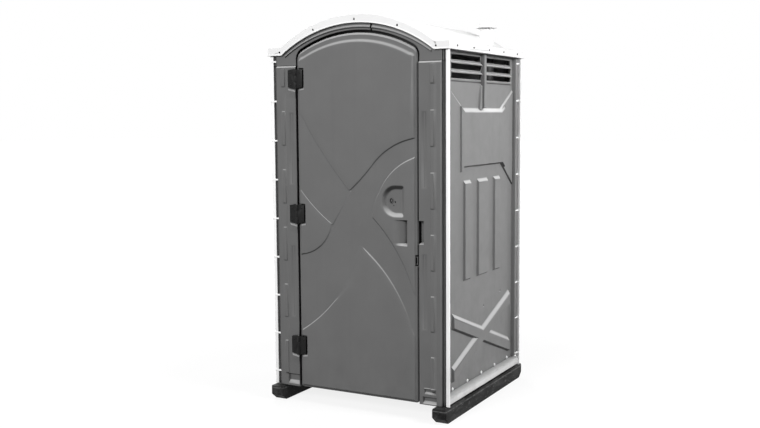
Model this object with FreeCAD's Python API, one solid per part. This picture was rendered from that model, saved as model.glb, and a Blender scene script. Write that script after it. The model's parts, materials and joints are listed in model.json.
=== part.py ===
import FreeCAD, Part
import math
import os

# A free-standing toilet cabin: moulded walls on a floor pan and two skids, an arched door on three
# hinges, a sliding bolt turned by a knob, a domed roof, and the tank, seat and fittings inside.
# Millimetres. +Z is up, the front faces -Y, +X is to the right seen from the front.
# The origin is on the ground, below the centre of the skids.

V = FreeCAD.Vector
os.makedirs("parts", exist_ok=True)

# Overall sizes
WALL_WIDTH = 1144.0
WALL_DEPTH = 1094.0
WALL_SHIFT_Y = 9.0
SKID_LENGTH = 1195.0
SKID_WIDTH = 89.0
SKID_HEIGHT = 88.0
SKID_INSET = 28.0
SKID_NOSE_LENGTH = 44.0
SKID_NOSE_HEIGHT = 34.0
EAVES_Z = 2083.0
SHEET = 5.0
CLEARANCE = 0.3
RUNNING_FIT = 0.08

# Floor
FLOOR_THICKNESS = 25.0
DECK_THICKNESS = 8.0
FLOOR_RIB = 6.0
FLOOR_RIBS = 6
CURB_REACH = 8.0
CURB_OUTER_TOP_Z = 140.0
CURB_TOP_Z = 152.0
CURB_LIFT = 3.0

# Side and rear walls, depths counted inwards from the outer face of the border
BORDER_WIDTH = 52.0
FIELD_DEPTH = 26.0
STRIP_DEPTH = 17.0
PANEL_DEPTH = 6.0
RIB_DEPTH = 12.0
BRACE_DEPTH = 8.0
DRAFT = 12.0
YOKE_TOP_Z = 1862.0
YOKE_BOTTOM_Z = 1765.0
YOKE_TOP_HALF = 451.0
YOKE_BOTTOM_HALF = 283.0
PANEL_HALF = 339.0
PANEL_BOTTOM_Z = 1425.0
PANEL_SHOULDER_Z = 1320.0
PANEL_BOTTOM_HALF = 294.0
PANEL_SHOULDER_HALF = 435.0
RIB_SPACING = 227.0
RIB_WIDTHS = (96.0, 150.0, 96.0)
RIB_BOTTOM_Z = 765.0
RIB_TOP_Z = 1350.0
BRACE_CENTRE_Z = 402.0
BRACE_SLOPE = 0.355
BRACE_BAND = 94.0
BRACE_HALF = 439.0
MULLION_WIDTH = 40.0
LOUVRE_NOSES_Z = (2018.0, 1966.0)
LOUVRE_PITCH = 52.0
LOUVRE_SLOT = 23.0
LOUVRE_LIP = 9.0
LOUVRE_FACE = 4.0
LOUVRE_BAY_HALF = 462.0
DIMPLE_RADIUS = 7.0
DIMPLE_DEPTH = 2.0
DIMPLES = ((37.0, 566.0), (306.0, 618.0))

# Corner strips and their clips
STRIP_WIDTH = 22.0
STRIP_THICKNESS = 10.0
STRIP_INSET = 6.0
STRIP_PROUD = 7.0
REAR_STRIP_PROUD = 4.0
CLIP_COUNT = 9
CLIP_FIRST_Z = 168.0
CLIP_PITCH = 234.5
CLIP_HEIGHT = 10.0
CLIP_THICKNESS = 2.0
CLIP_REACH = 20.0

# Doorway, jambs and header
DOOR_HALF_WIDTH = 397.0
DOOR_BOTTOM_Z = 93.0
DOOR_TOP_Z = 2196.0
DOOR_ARCH_RADIUS = 770.0
DOOR_ARCH_CORNER = 60.0
DOOR_FOOT_CORNER = 16.0
DOOR_GAP = 7.0
STOP_LAP = 15.0
STOP_THICKNESS = 5.0
DOOR_TO_STOP = 6.0
FRAME_SHEET = 6.0
JAMB_FACE_Y = -556.0
JAMB_EDGE_Y = -541.0
JAMB_STEP_INSET = 26.0
JAMB_STEP_RUN = 5.0
JAMB_FOOT_Z = 91.0
JAMB_TOP_Z = 2022.0
HEADER_FACE_Y = -546.0
COLUMN_X = (474.0, 514.0)
COLUMN_RISE = 3.0
PAD_RISE = 3.0
PAD_TOP_Z = 2022.0
PAD_TOP_LENGTH = 125.0
PAD_LENGTH = 206.0
PAD_PITCH = 346.0
PAD_COUNT = 5
PAD_SLOPE = 7.0
SLOT_X = (423.0, 455.0)
SLOT_DEPTH = 3.0
SLOTS_Z = ((1318.0, 1750.0), (517.0, 955.0))
FOOT_POCKET_X = (412.0, 486.0)
FOOT_POCKET_Z = (108.0, 196.0)
FOOT_POCKET_DEPTH = 14.0
FOOT_SLATS_Z = ((160.0, 168.0), (178.0, 186.0))
FINGER_POCKET_WIDTH = 21.0
FINGER_POCKET_Z = (1008.0, 1136.0)
FINGER_POCKET_DEPTH = 32.0

# Roof
ROOF_OVERHANG = 24.0
ROOF_SIDE_OVERHANG = 25.0
ROOF_EAR_HALF = 500.0
ROOF_RISE = 168.0
ROOF_SKIRT = 46.0
ROOF_SKIN = 5.0
ROOF_EDGE_RADIUS = 9.0
ROOF_FIT = 0.5

# Vent
VENT_X = 400.0
VENT_Y = 430.0
VENT_RADIUS = 45.0
VENT_WALL = 3.0
VENT_TOP_Z = 2262.0
CAP_RADIUS = 66.0
CAP_RISE = 38.0
CAP_CROWN_INSET = 18.5
CAP_LEG_HALF_WIDTH = 4.0
CAP_SKIRT = 26.0
CAP_WALL = 3.0

# Door
DOOR_RIM_Y = -551.0
DOOR_RIM_WIDTH = 36.0
DOOR_PANEL_RISE = 4.0
DOOR_FIELD_RISE = 5.0
DOOR_CHANNEL_STEP = 2.5
DOOR_DEPTH = 36.0
LINER_THICKNESS = 5.0
LINER_RECESS = 10.0
LINER_PANELS_Z = ((180.0, 940.0), (1400.0, 2040.0))
DISH_X = 258.0
DISH_Z = 1243.0
DISH_RADIUS = 88.0
DISH_RIGHT_X = 314.0
DISH_CORNER = 14.0
DISH_SLOPE = 12.0
DISH_FLOOR_Y = -540.0
PULL_X = (246.0, 334.0)
PULL_Z = (992.0, 1138.0)
PULL_DEPTH = 26.0
PULL_FLOOR = 30.0
STAPLE_Z = (880.0, 944.0)
STAPLE_NOTCH = 16.0
STAPLE_WIRE = 6.0
STAPLE_INSET = 12.0
GRIP_WIDTH = 26.0
GRIP_STAND = 40.0
GRIP_THICKNESS = 18.0
GRIP_LENGTH = 160.0
GRIP_FOOT = 22.0

# Hinges
HINGE_CENTRES_Z = {"top": 1944.0, "middle": 1145.0, "bottom": 349.0}
HINGE_HEIGHT = 116.0
HINGE_LEAF = 50.0
HINGE_LEAF_THICKNESS = 8.0
HINGE_BARREL_RADIUS = 9.0
HINGE_PIN_RADIUS = 4.0
HINGE_AXIS_X = -400.5
HINGE_AXIS_Y = -566.0
HINGE_BEVEL = 10.0
KNUCKLE_GAP = 0.6
PIN_HEAD = 3.0

# Lock
LOCK_X = 225.0
LOCK_Z = 1245.0
LOCK_TEETH = 16
LOCK_MODULE = 2.0
LOCK_TURN = 90.0
SPINDLE_RADIUS = 6.0
GEAR_WIDTH = 8.0
GEAR_BACK_Y = -524.0
BOLT_HEIGHT = 20.0
BOLT_TAIL = 50.0
BOLT_END_INSET = 5.0
BOLT_FIT = 0.4
TOOTH_BACKLASH = 0.5
TOOTH_TIP = 0.8
TOOTH_ROOT = 1.25
TOOTH_SLOPE = 20.0
TOOTH_SUNK = 1.0
WHEEL_TIP_RELIEF = 0.86
DIAL_RADIUS = 15.0
DIAL_THICKNESS = 4.0
DIAL_FACE = 2.0
DIAL_SLOT = 3.0
DIAL_SLOT_DEPTH = 1.5
KNOB_RADIUS = 24.0
KNOB_BASE = 6.0
KNOB_LENGTH = 70.0
KNOB_WIDTH = 14.0
KNOB_HEIGHT = 16.0
GUIDE_WALL = 3.0
GUIDE_FRONT = 2.0
GUIDE_INSET = 6.0
GUIDE_EDGE = 50.0
GUIDE_WIDTH = 16.0
KEEPER_THICKNESS = 3.0
KEEPER_MARGIN = 14.0

# Holding tank, seat and lid
TANK_FRONT_Y = 40.0
TANK_BACK_Y = 518.0
TANK_SIDE_GAP = 7.0
TANK_TOP_Z = 560.0
TANK_SLOPE = 60.0
TANK_WALL = 5.0
TANK_RADIUS = 30.0
SEAT_CENTRE_Y = 240.0
SEAT_LENGTH = 400.0
SEAT_WIDTH = 370.0
SEAT_HOLE_LENGTH = 290.0
SEAT_HOLE_WIDTH = 220.0
SEAT_THICKNESS = 20.0
SEAT_BUFFER = 4.0
LID_THICKNESS = 12.0
LID_GAP = 1.5
LID_REST = 95.0
SEAT_AXIS_Y = 466.0
SEAT_AXIS_RISE = 22.0
SEAT_PIN_RADIUS = 5.0
SEAT_HUB_RADIUS = 10.0
SEAT_LUGS_X = 58.0
SEAT_LUG_WIDTH = 12.0
SEAT_LUG_GAP = 1.0
BRACKET_FOOT = 5.0

# Urinal
URINAL_Y = (-190.0, 30.0)
URINAL_TOP_Z = 800.0
URINAL_HEIGHT = 300.0
URINAL_REACH = 210.0
URINAL_WALL = 5.0
URINAL_LIP_DROP = 90.0
URINAL_SHOULDER = 50.0
URINAL_CHIN = 110.0
URINAL_SUMP = 80.0
DRAIN_RADIUS = 20.0
DRAIN_WALL = 3.0
DRAIN_DROP = 70.0
DRAIN_BEND = 50.0

# Paper holder, hook and shelf
PAPER_Y = 150.0
PAPER_Z = 800.0
PAPER_PLATE = 5.0
PAPER_PLATE_HALF = 60.0
PAPER_ARM_HALF = 24.0
PAPER_REACH = 75.0
ROLL_RADIUS = 55.0
ROLL_WIDTH = 100.0
CORE_RADIUS = 19.0
ROLL_GAP = 2.0
SPINDLE_NECK = 8.0
HOOK_Z = 1650.0
HOOK_OFFSET = 200.0
HOOK_PLATE = 5.0
HOOK_WIDTH = 20.0
HOOK_HEIGHT = 30.0
HOOK_REACH = 40.0
HOOK_RADIUS = 6.0
SHELF_Z = 1000.0
SHELF_SIZE = 200.0
SHELF_THICKNESS = 6.0
SHELF_LIP = 22.0

# Fasteners
SCREW_HEAD_RADIUS = 6.5
SCREW_HEAD_HEIGHT = 3.0
SCREW_SHANK_RADIUS = 2.5
SCREW_LENGTH = 10.0
ROOF_SCREW_LENGTH = 27.0
ROOF_SCREWS_FRONT = ((-512.0, 20.0), (-275.0, 24.0), (0.0, 25.0), (275.0, 24.0), (512.0, 20.0))
ROOF_SCREWS_SIDE_Y = (-460.0, -230.0, 0.0, 230.0, 460.0)
BASE_SCREWS_Y = (-424.0, -212.0, 0.0, 212.0, 424.0)
BASE_SCREW_Z = 161.0

# Worked out
WALL_X = WALL_WIDTH / 2
SKID_SPREAD = WALL_WIDTH - 2 * SKID_INSET
STRIP_INNER_X = WALL_X - STRIP_INSET
JAMB_STEP_X = STRIP_INNER_X - JAMB_STEP_INSET
ROOF_HALF_WIDTH = WALL_X + ROOF_SIDE_OVERHANG
FRONT_Y = WALL_SHIFT_Y - WALL_DEPTH / 2
REAR_Y = WALL_SHIFT_Y + WALL_DEPTH / 2
FLOOR_TOP_Z = SKID_HEIGHT + FLOOR_THICKNESS
ROOF_FRONT_Y = FRONT_Y - ROOF_OVERHANG
ROOF_REAR_Y = REAR_Y + ROOF_OVERHANG
EAR_TOP_Z = EAVES_Z + ROOF_SKIRT
ROOF_RADIUS = (ROOF_EAR_HALF ** 2 + ROOF_RISE ** 2) / (2 * ROOF_RISE)
WALL_HEAD_Z = EAR_TOP_Z - ROOF_SKIN - ROOF_FIT
DOOR_PANEL_Y = DOOR_RIM_Y - DOOR_PANEL_RISE
DOOR_FACE_Y = DOOR_PANEL_Y - DOOR_FIELD_RISE
UPPER_CHANNEL_Y = DOOR_PANEL_Y - DOOR_CHANNEL_STEP
DOOR_BACK_Y = DOOR_RIM_Y + DOOR_DEPTH
STOP_FRONT_Y = DOOR_BACK_Y + DOOR_TO_STOP
JAMB_BACK_Y = STOP_FRONT_Y + STOP_THICKNESS
STOP_X = DOOR_HALF_WIDTH - STOP_LAP
JAMB_INNER_X = DOOR_HALF_WIDTH + DOOR_GAP
SIDE_FRONT_Y = JAMB_EDGE_Y + FRAME_SHEET + CLEARANCE
SIDE_REAR_Y = REAR_Y - STRIP_THICKNESS + REAR_STRIP_PROUD - CLEARANCE
SIDE_MIDDLE_Y = (SIDE_FRONT_Y + SIDE_REAR_Y) / 2
SIDE_HALF = (SIDE_REAR_Y - SIDE_FRONT_Y) / 2
FIELD_X = WALL_X - FIELD_DEPTH
WALL_INNER_X = FIELD_X - SHEET
TANK_HALF_WIDTH = WALL_INNER_X - TANK_SIDE_GAP
GEAR_FRONT_Y = GEAR_BACK_Y - GEAR_WIDTH
GEAR_RADIUS = LOCK_TEETH * LOCK_MODULE / 2
BOLT_TRAVEL = GEAR_RADIUS * math.radians(LOCK_TURN)
RACK_PITCH_Z = LOCK_Z - GEAR_RADIUS
RACK_TIP_Z = RACK_PITCH_Z + LOCK_MODULE * TOOTH_TIP
BOLT_TOP_Z = RACK_PITCH_Z - LOCK_MODULE * TOOTH_ROOT
LINER_FRONT_Y = DOOR_BACK_Y - LINER_THICKNESS
SEAT_AXIS_Z = TANK_TOP_Z + SEAT_AXIS_RISE
SEAT_UNDER_Z = TANK_TOP_Z + CLEARANCE + SEAT_BUFFER
SEAT_TOP_Z = SEAT_UNDER_Z + SEAT_THICKNESS


def save(name, shape):
    """Write one named piece, after a check that it is sound."""
    if not shape.isValid():
        raise ValueError(name + " is not a sound solid")
    shape.exportStep("parts/" + name + ".step")
    print(name, len(shape.Solids), "solid(s)", round(shape.Volume / 1000), "cm3")


def box(x, y, z):
    """A box from (low, high) pairs."""
    return Part.makeBox(x[1] - x[0], y[1] - y[0], z[1] - z[0], V(x[0], y[0], z[0]))


def rod(start, direction, radius, length):
    return Part.makeCylinder(radius, length, V(*start), V(*direction))


def merged(shape):
    """The same shape with faces that continue each other made one, where that stays sound."""
    whole = shape.removeSplitter()
    return whole if whole.isValid() else shape


def joined(shapes):
    """One solid from several that touch or overlap."""
    return merged(shapes[0].multiFuse(shapes[1:]))


def group(shapes):
    return Part.makeCompound(shapes)


def mirrored(shape):
    """The same piece on the other side of the middle plane."""
    return shape.mirror(V(0, 0, 0), V(1, 0, 0))


def polygon(points):
    return Part.makePolygon([V(*p) for p in points] + [V(*points[0])])


def prism(points, axis, low, high):
    """A flat outline pushed along an axis: points are (x, y) along z, (x, z) along y, (y, z) along x."""
    order = {"z": lambda a, b: (a, b, low), "y": lambda a, b: (a, low, b), "x": lambda a, b: (low, a, b)}
    push = {"z": V(0, 0, high - low), "y": V(0, high - low, 0), "x": V(high - low, 0, 0)}
    return Part.Face(polygon([order[axis](a, b) for a, b in points])).extrude(push[axis])


def shrink(points, inset):
    """An outline moved inwards by the same distance on every side; the points run anticlockwise."""
    moved = []
    for i, (x, y) in enumerate(points):
        before = points[i - 1]
        after = points[(i + 1) % len(points)]
        a = (x - before[0], y - before[1])
        b = (after[0] - x, after[1] - y)
        a_length = math.hypot(*a)
        b_length = math.hypot(*b)
        turn = (a[0] * b[1] - a[1] * b[0]) / (a_length * b_length)
        along = (a[0] * b[0] + a[1] * b[1]) / (a_length * b_length)
        normal = (-a[1] / a_length, a[0] / a_length)
        slide = inset * turn / (1 + along)
        moved.append((x + inset * normal[0] + slide * -a[0] / a_length,
                      y + inset * normal[1] + slide * -a[1] / a_length))
    return moved


def boss(points, low, high, draft):
    """A raised shape with sloping sides on a wall seen square on: outline (u, v), height w."""
    base = polygon([(u, v, low) for u, v in points])
    crown = polygon([(u, v, high) for u, v in shrink(points, draft)])
    return Part.makeLoft([base, crown], True, True)


def rectangle(u, v):
    return [(u[0], v[0]), (u[1], v[0]), (u[1], v[1]), (u[0], v[1])]


def on_wall(shape, across, out):
    """Turn a wall drawn as (u across, v up, w out) so that it stands where it belongs."""
    turn = FreeCAD.Matrix(across[0], 0, out[0], 0, across[1], 0, out[1], 0,
                          across[2], 1, out[2], 0, 0, 0, 0, 1)
    return shape.transformed(turn, copy=True)


# Roof line

def roof_line(drop, half_width, half_ear):
    """The points of the roof's upper outline, moved down by drop: (x, z), with the arch's top."""
    ear = EAR_TOP_Z - drop
    return [V(-half_width, 0, ear), V(-half_ear, 0, ear), V(0, 0, ear + ROOF_RISE),
            V(half_ear, 0, ear), V(half_width, 0, ear)]


def under_roof(drop, half_width, bottom, low_y, high_y):
    """Everything below the roof's outline, between two heights and two planes across Y."""
    a, b, top, c, d = roof_line(drop, half_width, ROOF_EAR_HALF)
    left_foot = V(-half_width, 0, bottom)
    right_foot = V(half_width, 0, bottom)
    edges = [Part.makeLine(left_foot, a), Part.makeLine(a, b), Part.Arc(b, top, c).toShape(),
             Part.makeLine(c, d), Part.makeLine(d, right_foot), Part.makeLine(right_foot, left_foot)]
    face = Part.Face(Part.Wire(edges))
    face.translate(V(0, low_y, 0))
    return face.extrude(V(0, high_y - low_y, 0))


# Base

def make_skid(side):
    half = SKID_LENGTH / 2
    outline = [(-half + SKID_NOSE_LENGTH, 0), (half - SKID_NOSE_LENGTH, 0), (half, SKID_NOSE_HEIGHT),
               (half, SKID_HEIGHT), (-half, SKID_HEIGHT), (-half, SKID_NOSE_HEIGHT)]
    middle = side * SKID_SPREAD / 2
    return prism(outline, "x", middle - SKID_WIDTH / 2, middle + SKID_WIDTH / 2)


def make_floor_pan():
    """A tray: a deck with ribs under it, a curb along each side and a threshold between the jambs."""
    under = FLOOR_TOP_Z - DECK_THICKNESS
    deck = box((-FIELD_X, FIELD_X), (JAMB_BACK_Y, REAR_Y), (under, FLOOR_TOP_Z))
    ribs = []
    for i in range(FLOOR_RIBS + 1):
        x = -FIELD_X + i * (2 * FIELD_X - FLOOR_RIB) / FLOOR_RIBS
        y = JAMB_BACK_Y + i * (REAR_Y - JAMB_BACK_Y - FLOOR_RIB) / FLOOR_RIBS
        ribs.append(box((x, x + FLOOR_RIB), (JAMB_BACK_Y, REAR_Y), (SKID_HEIGHT, under + 1)))
        ribs.append(box((-FIELD_X, FIELD_X), (y, y + FLOOR_RIB), (SKID_HEIGHT, under + 1)))
    outer = WALL_X + CURB_REACH
    foot = SKID_HEIGHT + CURB_LIFT
    section = [(FIELD_X, foot), (outer, foot), (outer, CURB_OUTER_TOP_Z), (FIELD_X, CURB_TOP_Z)]
    curb = prism(section, "y", SIDE_FRONT_Y, SIDE_REAR_Y)
    threshold = box((-STOP_X, STOP_X), (STOP_FRONT_Y, JAMB_BACK_Y), (foot, FLOOR_TOP_Z))
    return joined([deck, threshold, curb, mirrored(curb)] + ribs)


# Side and rear walls, drawn flat as (u, v, w)

def strip_outline(half):
    """The middle part of a wall, one step out from the field."""
    slope = (YOKE_TOP_Z - YOKE_BOTTOM_Z) / (YOKE_TOP_HALF - YOKE_BOTTOM_HALF)
    top = YOKE_BOTTOM_Z + slope * (half - YOKE_BOTTOM_HALF)
    fall = (PANEL_BOTTOM_Z - PANEL_SHOULDER_Z) / (PANEL_SHOULDER_HALF - PANEL_BOTTOM_HALF)
    low = PANEL_BOTTOM_Z - fall * (half - PANEL_BOTTOM_HALF)
    return [(-half, low), (-PANEL_BOTTOM_HALF, PANEL_BOTTOM_Z),
            (PANEL_BOTTOM_HALF, PANEL_BOTTOM_Z), (half, low),
            (half, top), (YOKE_BOTTOM_HALF, YOKE_BOTTOM_Z),
            (-YOKE_BOTTOM_HALF, YOKE_BOTTOM_Z), (-half, top)]


def brace_outline(direction):
    """One sloping band of the cross at the foot of a side wall."""
    rise = BRACE_SLOPE * BRACE_HALF
    half_band = BRACE_BAND / 2
    left = BRACE_CENTRE_Z - direction * rise
    right = BRACE_CENTRE_Z + direction * rise
    return [(-BRACE_HALF, left - half_band), (BRACE_HALF, right - half_band),
            (BRACE_HALF, right + half_band), (-BRACE_HALF, left + half_band)]


def hollow(outline, low, high):
    """The space behind a raised shape, so that the sheet is equally thick everywhere."""
    return boss(shrink(outline, SHEET), low, high - SHEET, DRAFT)


def louvre(nose_z, bay):
    """One steep blade that flares out to a lip at its lower edge."""
    field = -FIELD_DEPTH
    tip = -RIB_DEPTH
    rise = LOUVRE_PITCH - SHEET - LOUVRE_SLOT
    section = [(field - SHEET, nose_z - SHEET), (tip, nose_z - SHEET), (tip, nose_z),
               (field + LOUVRE_FACE, nose_z + LOUVRE_LIP), (field, nose_z + rise),
               (field - SHEET, nose_z + rise)]
    wire = polygon([(bay[0], v, w) for w, v in section])
    return Part.Face(wire).extrude(V(bay[1] - bay[0], 0, 0))


def make_wall(half_length, border_foot, louvred, braced):
    """A moulded wall as one sheet: border, louvre yoke, middle panel, ribs and cross."""
    back = -FIELD_DEPTH - SHEET
    field = -FIELD_DEPTH
    border_inner = half_length - BORDER_WIDTH
    sheet = box((-half_length, half_length), (FLOOR_TOP_Z, WALL_HEAD_Z), (back, field))
    raised = []
    spaces = []
    for side in (-1, 1):
        u = sorted((side * half_length, side * border_inner))
        outline = rectangle(u, (border_foot, WALL_HEAD_Z))
        raised.append(boss(outline, field, 0, 0.0))
        spaces.append(boss(shrink(outline, SHEET), back, -SHEET, 0.0))
    raised.append(boss(rectangle((-border_inner, border_inner), (EAVES_Z, WALL_HEAD_Z)), field, 0, 0.0))
    middle = strip_outline(border_inner)
    raised.append(boss(middle, field, -STRIP_DEPTH, 0.0))
    panel = strip_outline(PANEL_HALF)
    raised.append(boss(panel, field, -PANEL_DEPTH, DRAFT / 2))
    for i, width in enumerate(RIB_WIDTHS):
        centre = (i - 1) * RIB_SPACING
        outline = rectangle((centre - width / 2, centre + width / 2), (RIB_BOTTOM_Z, RIB_TOP_Z))
        raised.append(boss(outline, field, -RIB_DEPTH, DRAFT))
        spaces.append(hollow(outline, back, -RIB_DEPTH))
    spaces.append(boss(shrink(middle, SHEET), back, -STRIP_DEPTH - SHEET, 0.0))
    spaces.append(boss(shrink(panel, SHEET), back, -PANEL_DEPTH - SHEET, DRAFT / 2))
    if braced:
        raised += [boss(brace_outline(d), field, -BRACE_DEPTH, DRAFT) for d in (-1, 1)]
        spaces += [hollow(brace_outline(d), back, -BRACE_DEPTH) for d in (-1, 1)]
    wall = joined([sheet] + raised)
    wall = wall.cut(spaces)
    if louvred:
        wall = wall.fuse(box((-MULLION_WIDTH / 2, MULLION_WIDTH / 2), (YOKE_BOTTOM_Z, WALL_HEAD_Z),
                             (field, -BRACE_DEPTH)))
        slots = []
        blades = []
        for side in (-1, 1):
            bay = sorted((side * MULLION_WIDTH / 2, side * LOUVRE_BAY_HALF))
            for nose in LOUVRE_NOSES_Z:
                blades.append(louvre(nose, bay))
            for z in [nose - SHEET for nose in LOUVRE_NOSES_Z] + [LOUVRE_NOSES_Z[0] + LOUVRE_PITCH - SHEET]:
                slots.append(box((bay[0] + SHEET, bay[1] - SHEET), (z - LOUVRE_SLOT, z),
                                 (back - 1, field + 1)))
        wall = wall.multiFuse(blades)
        wall = wall.cut(slots)
    if braced:
        dimples = [rod((u, v, field - DIMPLE_DEPTH), (0, 0, 1), DIMPLE_RADIUS, SHEET) for u, v in DIMPLES]
        wall = wall.cut(dimples)
    return merged(wall)


def make_side_panel():
    flat = make_wall(SIDE_HALF, CURB_TOP_Z + CLEARANCE, True, True)
    wall = on_wall(flat, (0, 1, 0), (1, 0, 0))
    wall.translate(V(WALL_X, SIDE_MIDDLE_Y, 0))
    return wall.cut(base_screw_holes() + roof_side_screw_holes())


def make_rear_panel():
    half = WALL_INNER_X - CLEARANCE
    flat = make_wall(half, FLOOR_TOP_Z, False, False)
    wall = on_wall(flat, (-1, 0, 0), (0, 1, 0))
    wall.translate(V(0, REAR_Y, 0))
    low = REAR_Y - SHEET
    gable = under_roof(ROOF_SKIN + ROOF_FIT, half, WALL_HEAD_Z - SHEET, low, REAR_Y)
    return joined([wall, gable]).cut(roof_end_screw_holes(REAR_Y + ROOF_OVERHANG, -1))


# Fasteners

def screw(point, direction, length):
    """A pan-head screw: point is under the head, direction runs into the material."""
    inwards = V(*direction)
    seat = V(*point)
    head = Part.makeCylinder(SCREW_HEAD_RADIUS, SCREW_HEAD_HEIGHT, seat - inwards * SCREW_HEAD_HEIGHT,
                             inwards)
    shank = Part.makeCylinder(SCREW_SHANK_RADIUS, length, seat, inwards)
    return head.fuse(shank)


def screw_hole(point, direction, length):
    start = V(*point) - V(*direction)
    return Part.makeCylinder(SCREW_SHANK_RADIUS + CLEARANCE, length + 2, start, V(*direction))


def arch_drop(x):
    """How far the roof's arch lies below its top at x."""
    if abs(x) >= ROOF_EAR_HALF:
        return ROOF_RISE
    return ROOF_RADIUS - math.sqrt(ROOF_RADIUS ** 2 - x * x)


def roof_end_points(y):
    return [(x, y, EAVES_Z + ROOF_RISE - arch_drop(x) + up) for x, up in ROOF_SCREWS_FRONT]


def roof_side_points(side):
    return [(side * ROOF_HALF_WIDTH, SIDE_MIDDLE_Y + y, EAVES_Z + ROOF_SKIRT / 2)
            for y in ROOF_SCREWS_SIDE_Y]


def base_screw_points():
    return [(FIELD_X, SIDE_MIDDLE_Y + y, BASE_SCREW_Z) for y in BASE_SCREWS_Y]


def roof_end_screw_holes(y, inwards):
    return [screw_hole(p, (0, inwards, 0), ROOF_SCREW_LENGTH) for p in roof_end_points(y)]


def roof_side_screw_holes():
    return [screw_hole(p, (-1, 0, 0), ROOF_SCREW_LENGTH) for p in roof_side_points(1)]


def base_screw_holes():
    return [screw_hole(p, (-1, 0, 0), SCREW_LENGTH) for p in base_screw_points()]


def make_roof_screws():
    ends = [screw(p, (0, 1, 0), ROOF_SCREW_LENGTH) for p in roof_end_points(ROOF_FRONT_Y)]
    ends += [screw(p, (0, -1, 0), ROOF_SCREW_LENGTH) for p in roof_end_points(ROOF_REAR_Y)]
    right = [screw(p, (-1, 0, 0), ROOF_SCREW_LENGTH) for p in roof_side_points(1)]
    return group(ends + right + [mirrored(s) for s in right])


def make_base_screws():
    right = [screw(p, (-1, 0, 0), SCREW_LENGTH) for p in base_screw_points()]
    return group(right + [mirrored(s) for s in right])


# Corner strips

def make_corner_strip(side, front):
    low = FRONT_Y - STRIP_PROUD if front else SIDE_REAR_Y + CLEARANCE
    high = low + STRIP_THICKNESS
    x = sorted((side * STRIP_INNER_X, side * (STRIP_INNER_X + STRIP_WIDTH)))
    strip = box(x, (low, high), (JAMB_FOOT_Z, EAVES_Z - CLEARANCE))
    outer = [e for e in strip.Edges if abs(e.CenterOfMass.z - (JAMB_FOOT_Z + EAVES_Z - CLEARANCE) / 2) < 1
             and abs(abs(e.CenterOfMass.x) - STRIP_INNER_X - STRIP_WIDTH) < 1]
    return strip.makeFillet(STRIP_THICKNESS * 0.4, outer)


# Front: jambs and header

def jamb_section():
    """Plan of the right jamb's outer skin, anticlockwise: (x, y)."""
    flange_y = JAMB_EDGE_Y + FRAME_SHEET
    outer = WALL_INNER_X - CLEARANCE
    return [(STOP_X, STOP_FRONT_Y), (JAMB_INNER_X, STOP_FRONT_Y), (JAMB_INNER_X, JAMB_FACE_Y),
            (JAMB_STEP_X, JAMB_FACE_Y),
            (JAMB_STEP_X + JAMB_STEP_RUN, JAMB_EDGE_Y), (STRIP_INNER_X, JAMB_EDGE_Y),
            (STRIP_INNER_X, flange_y), (outer, flange_y), (outer, JAMB_BACK_Y), (STOP_X, JAMB_BACK_Y)]


def jamb_hollow():
    """The space inside a jamb, open towards the cabin."""
    edge = JAMB_INNER_X + FRAME_SHEET
    outer = WALL_INNER_X - CLEARANCE - FRAME_SHEET
    return [(edge, JAMB_FACE_Y + FRAME_SHEET), (outer, JAMB_FACE_Y + FRAME_SHEET),
            (outer, JAMB_BACK_Y + 1), (edge, JAMB_BACK_Y + 1)]


def on_front(shape):
    """A shape drawn flat, stood on the front: its heights count out from y = 0 towards -Y."""
    return on_wall(shape, (1, 0, 0), (0, -1, 0))


def front_boss(u, v, low_y, high_y, draft):
    return on_front(boss(rectangle(u, v), -low_y, -high_y, draft))


def pad_heights():
    """Lower and upper end of each raised pad on a jamb."""
    pads = [(PAD_TOP_Z - PAD_TOP_LENGTH, PAD_TOP_Z)]
    upper = PAD_TOP_Z - PAD_PITCH + PAD_LENGTH - PAD_TOP_LENGTH
    for _ in range(PAD_COUNT):
        pads.append((upper - PAD_LENGTH, upper))
        upper -= PAD_PITCH
    return pads


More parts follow.
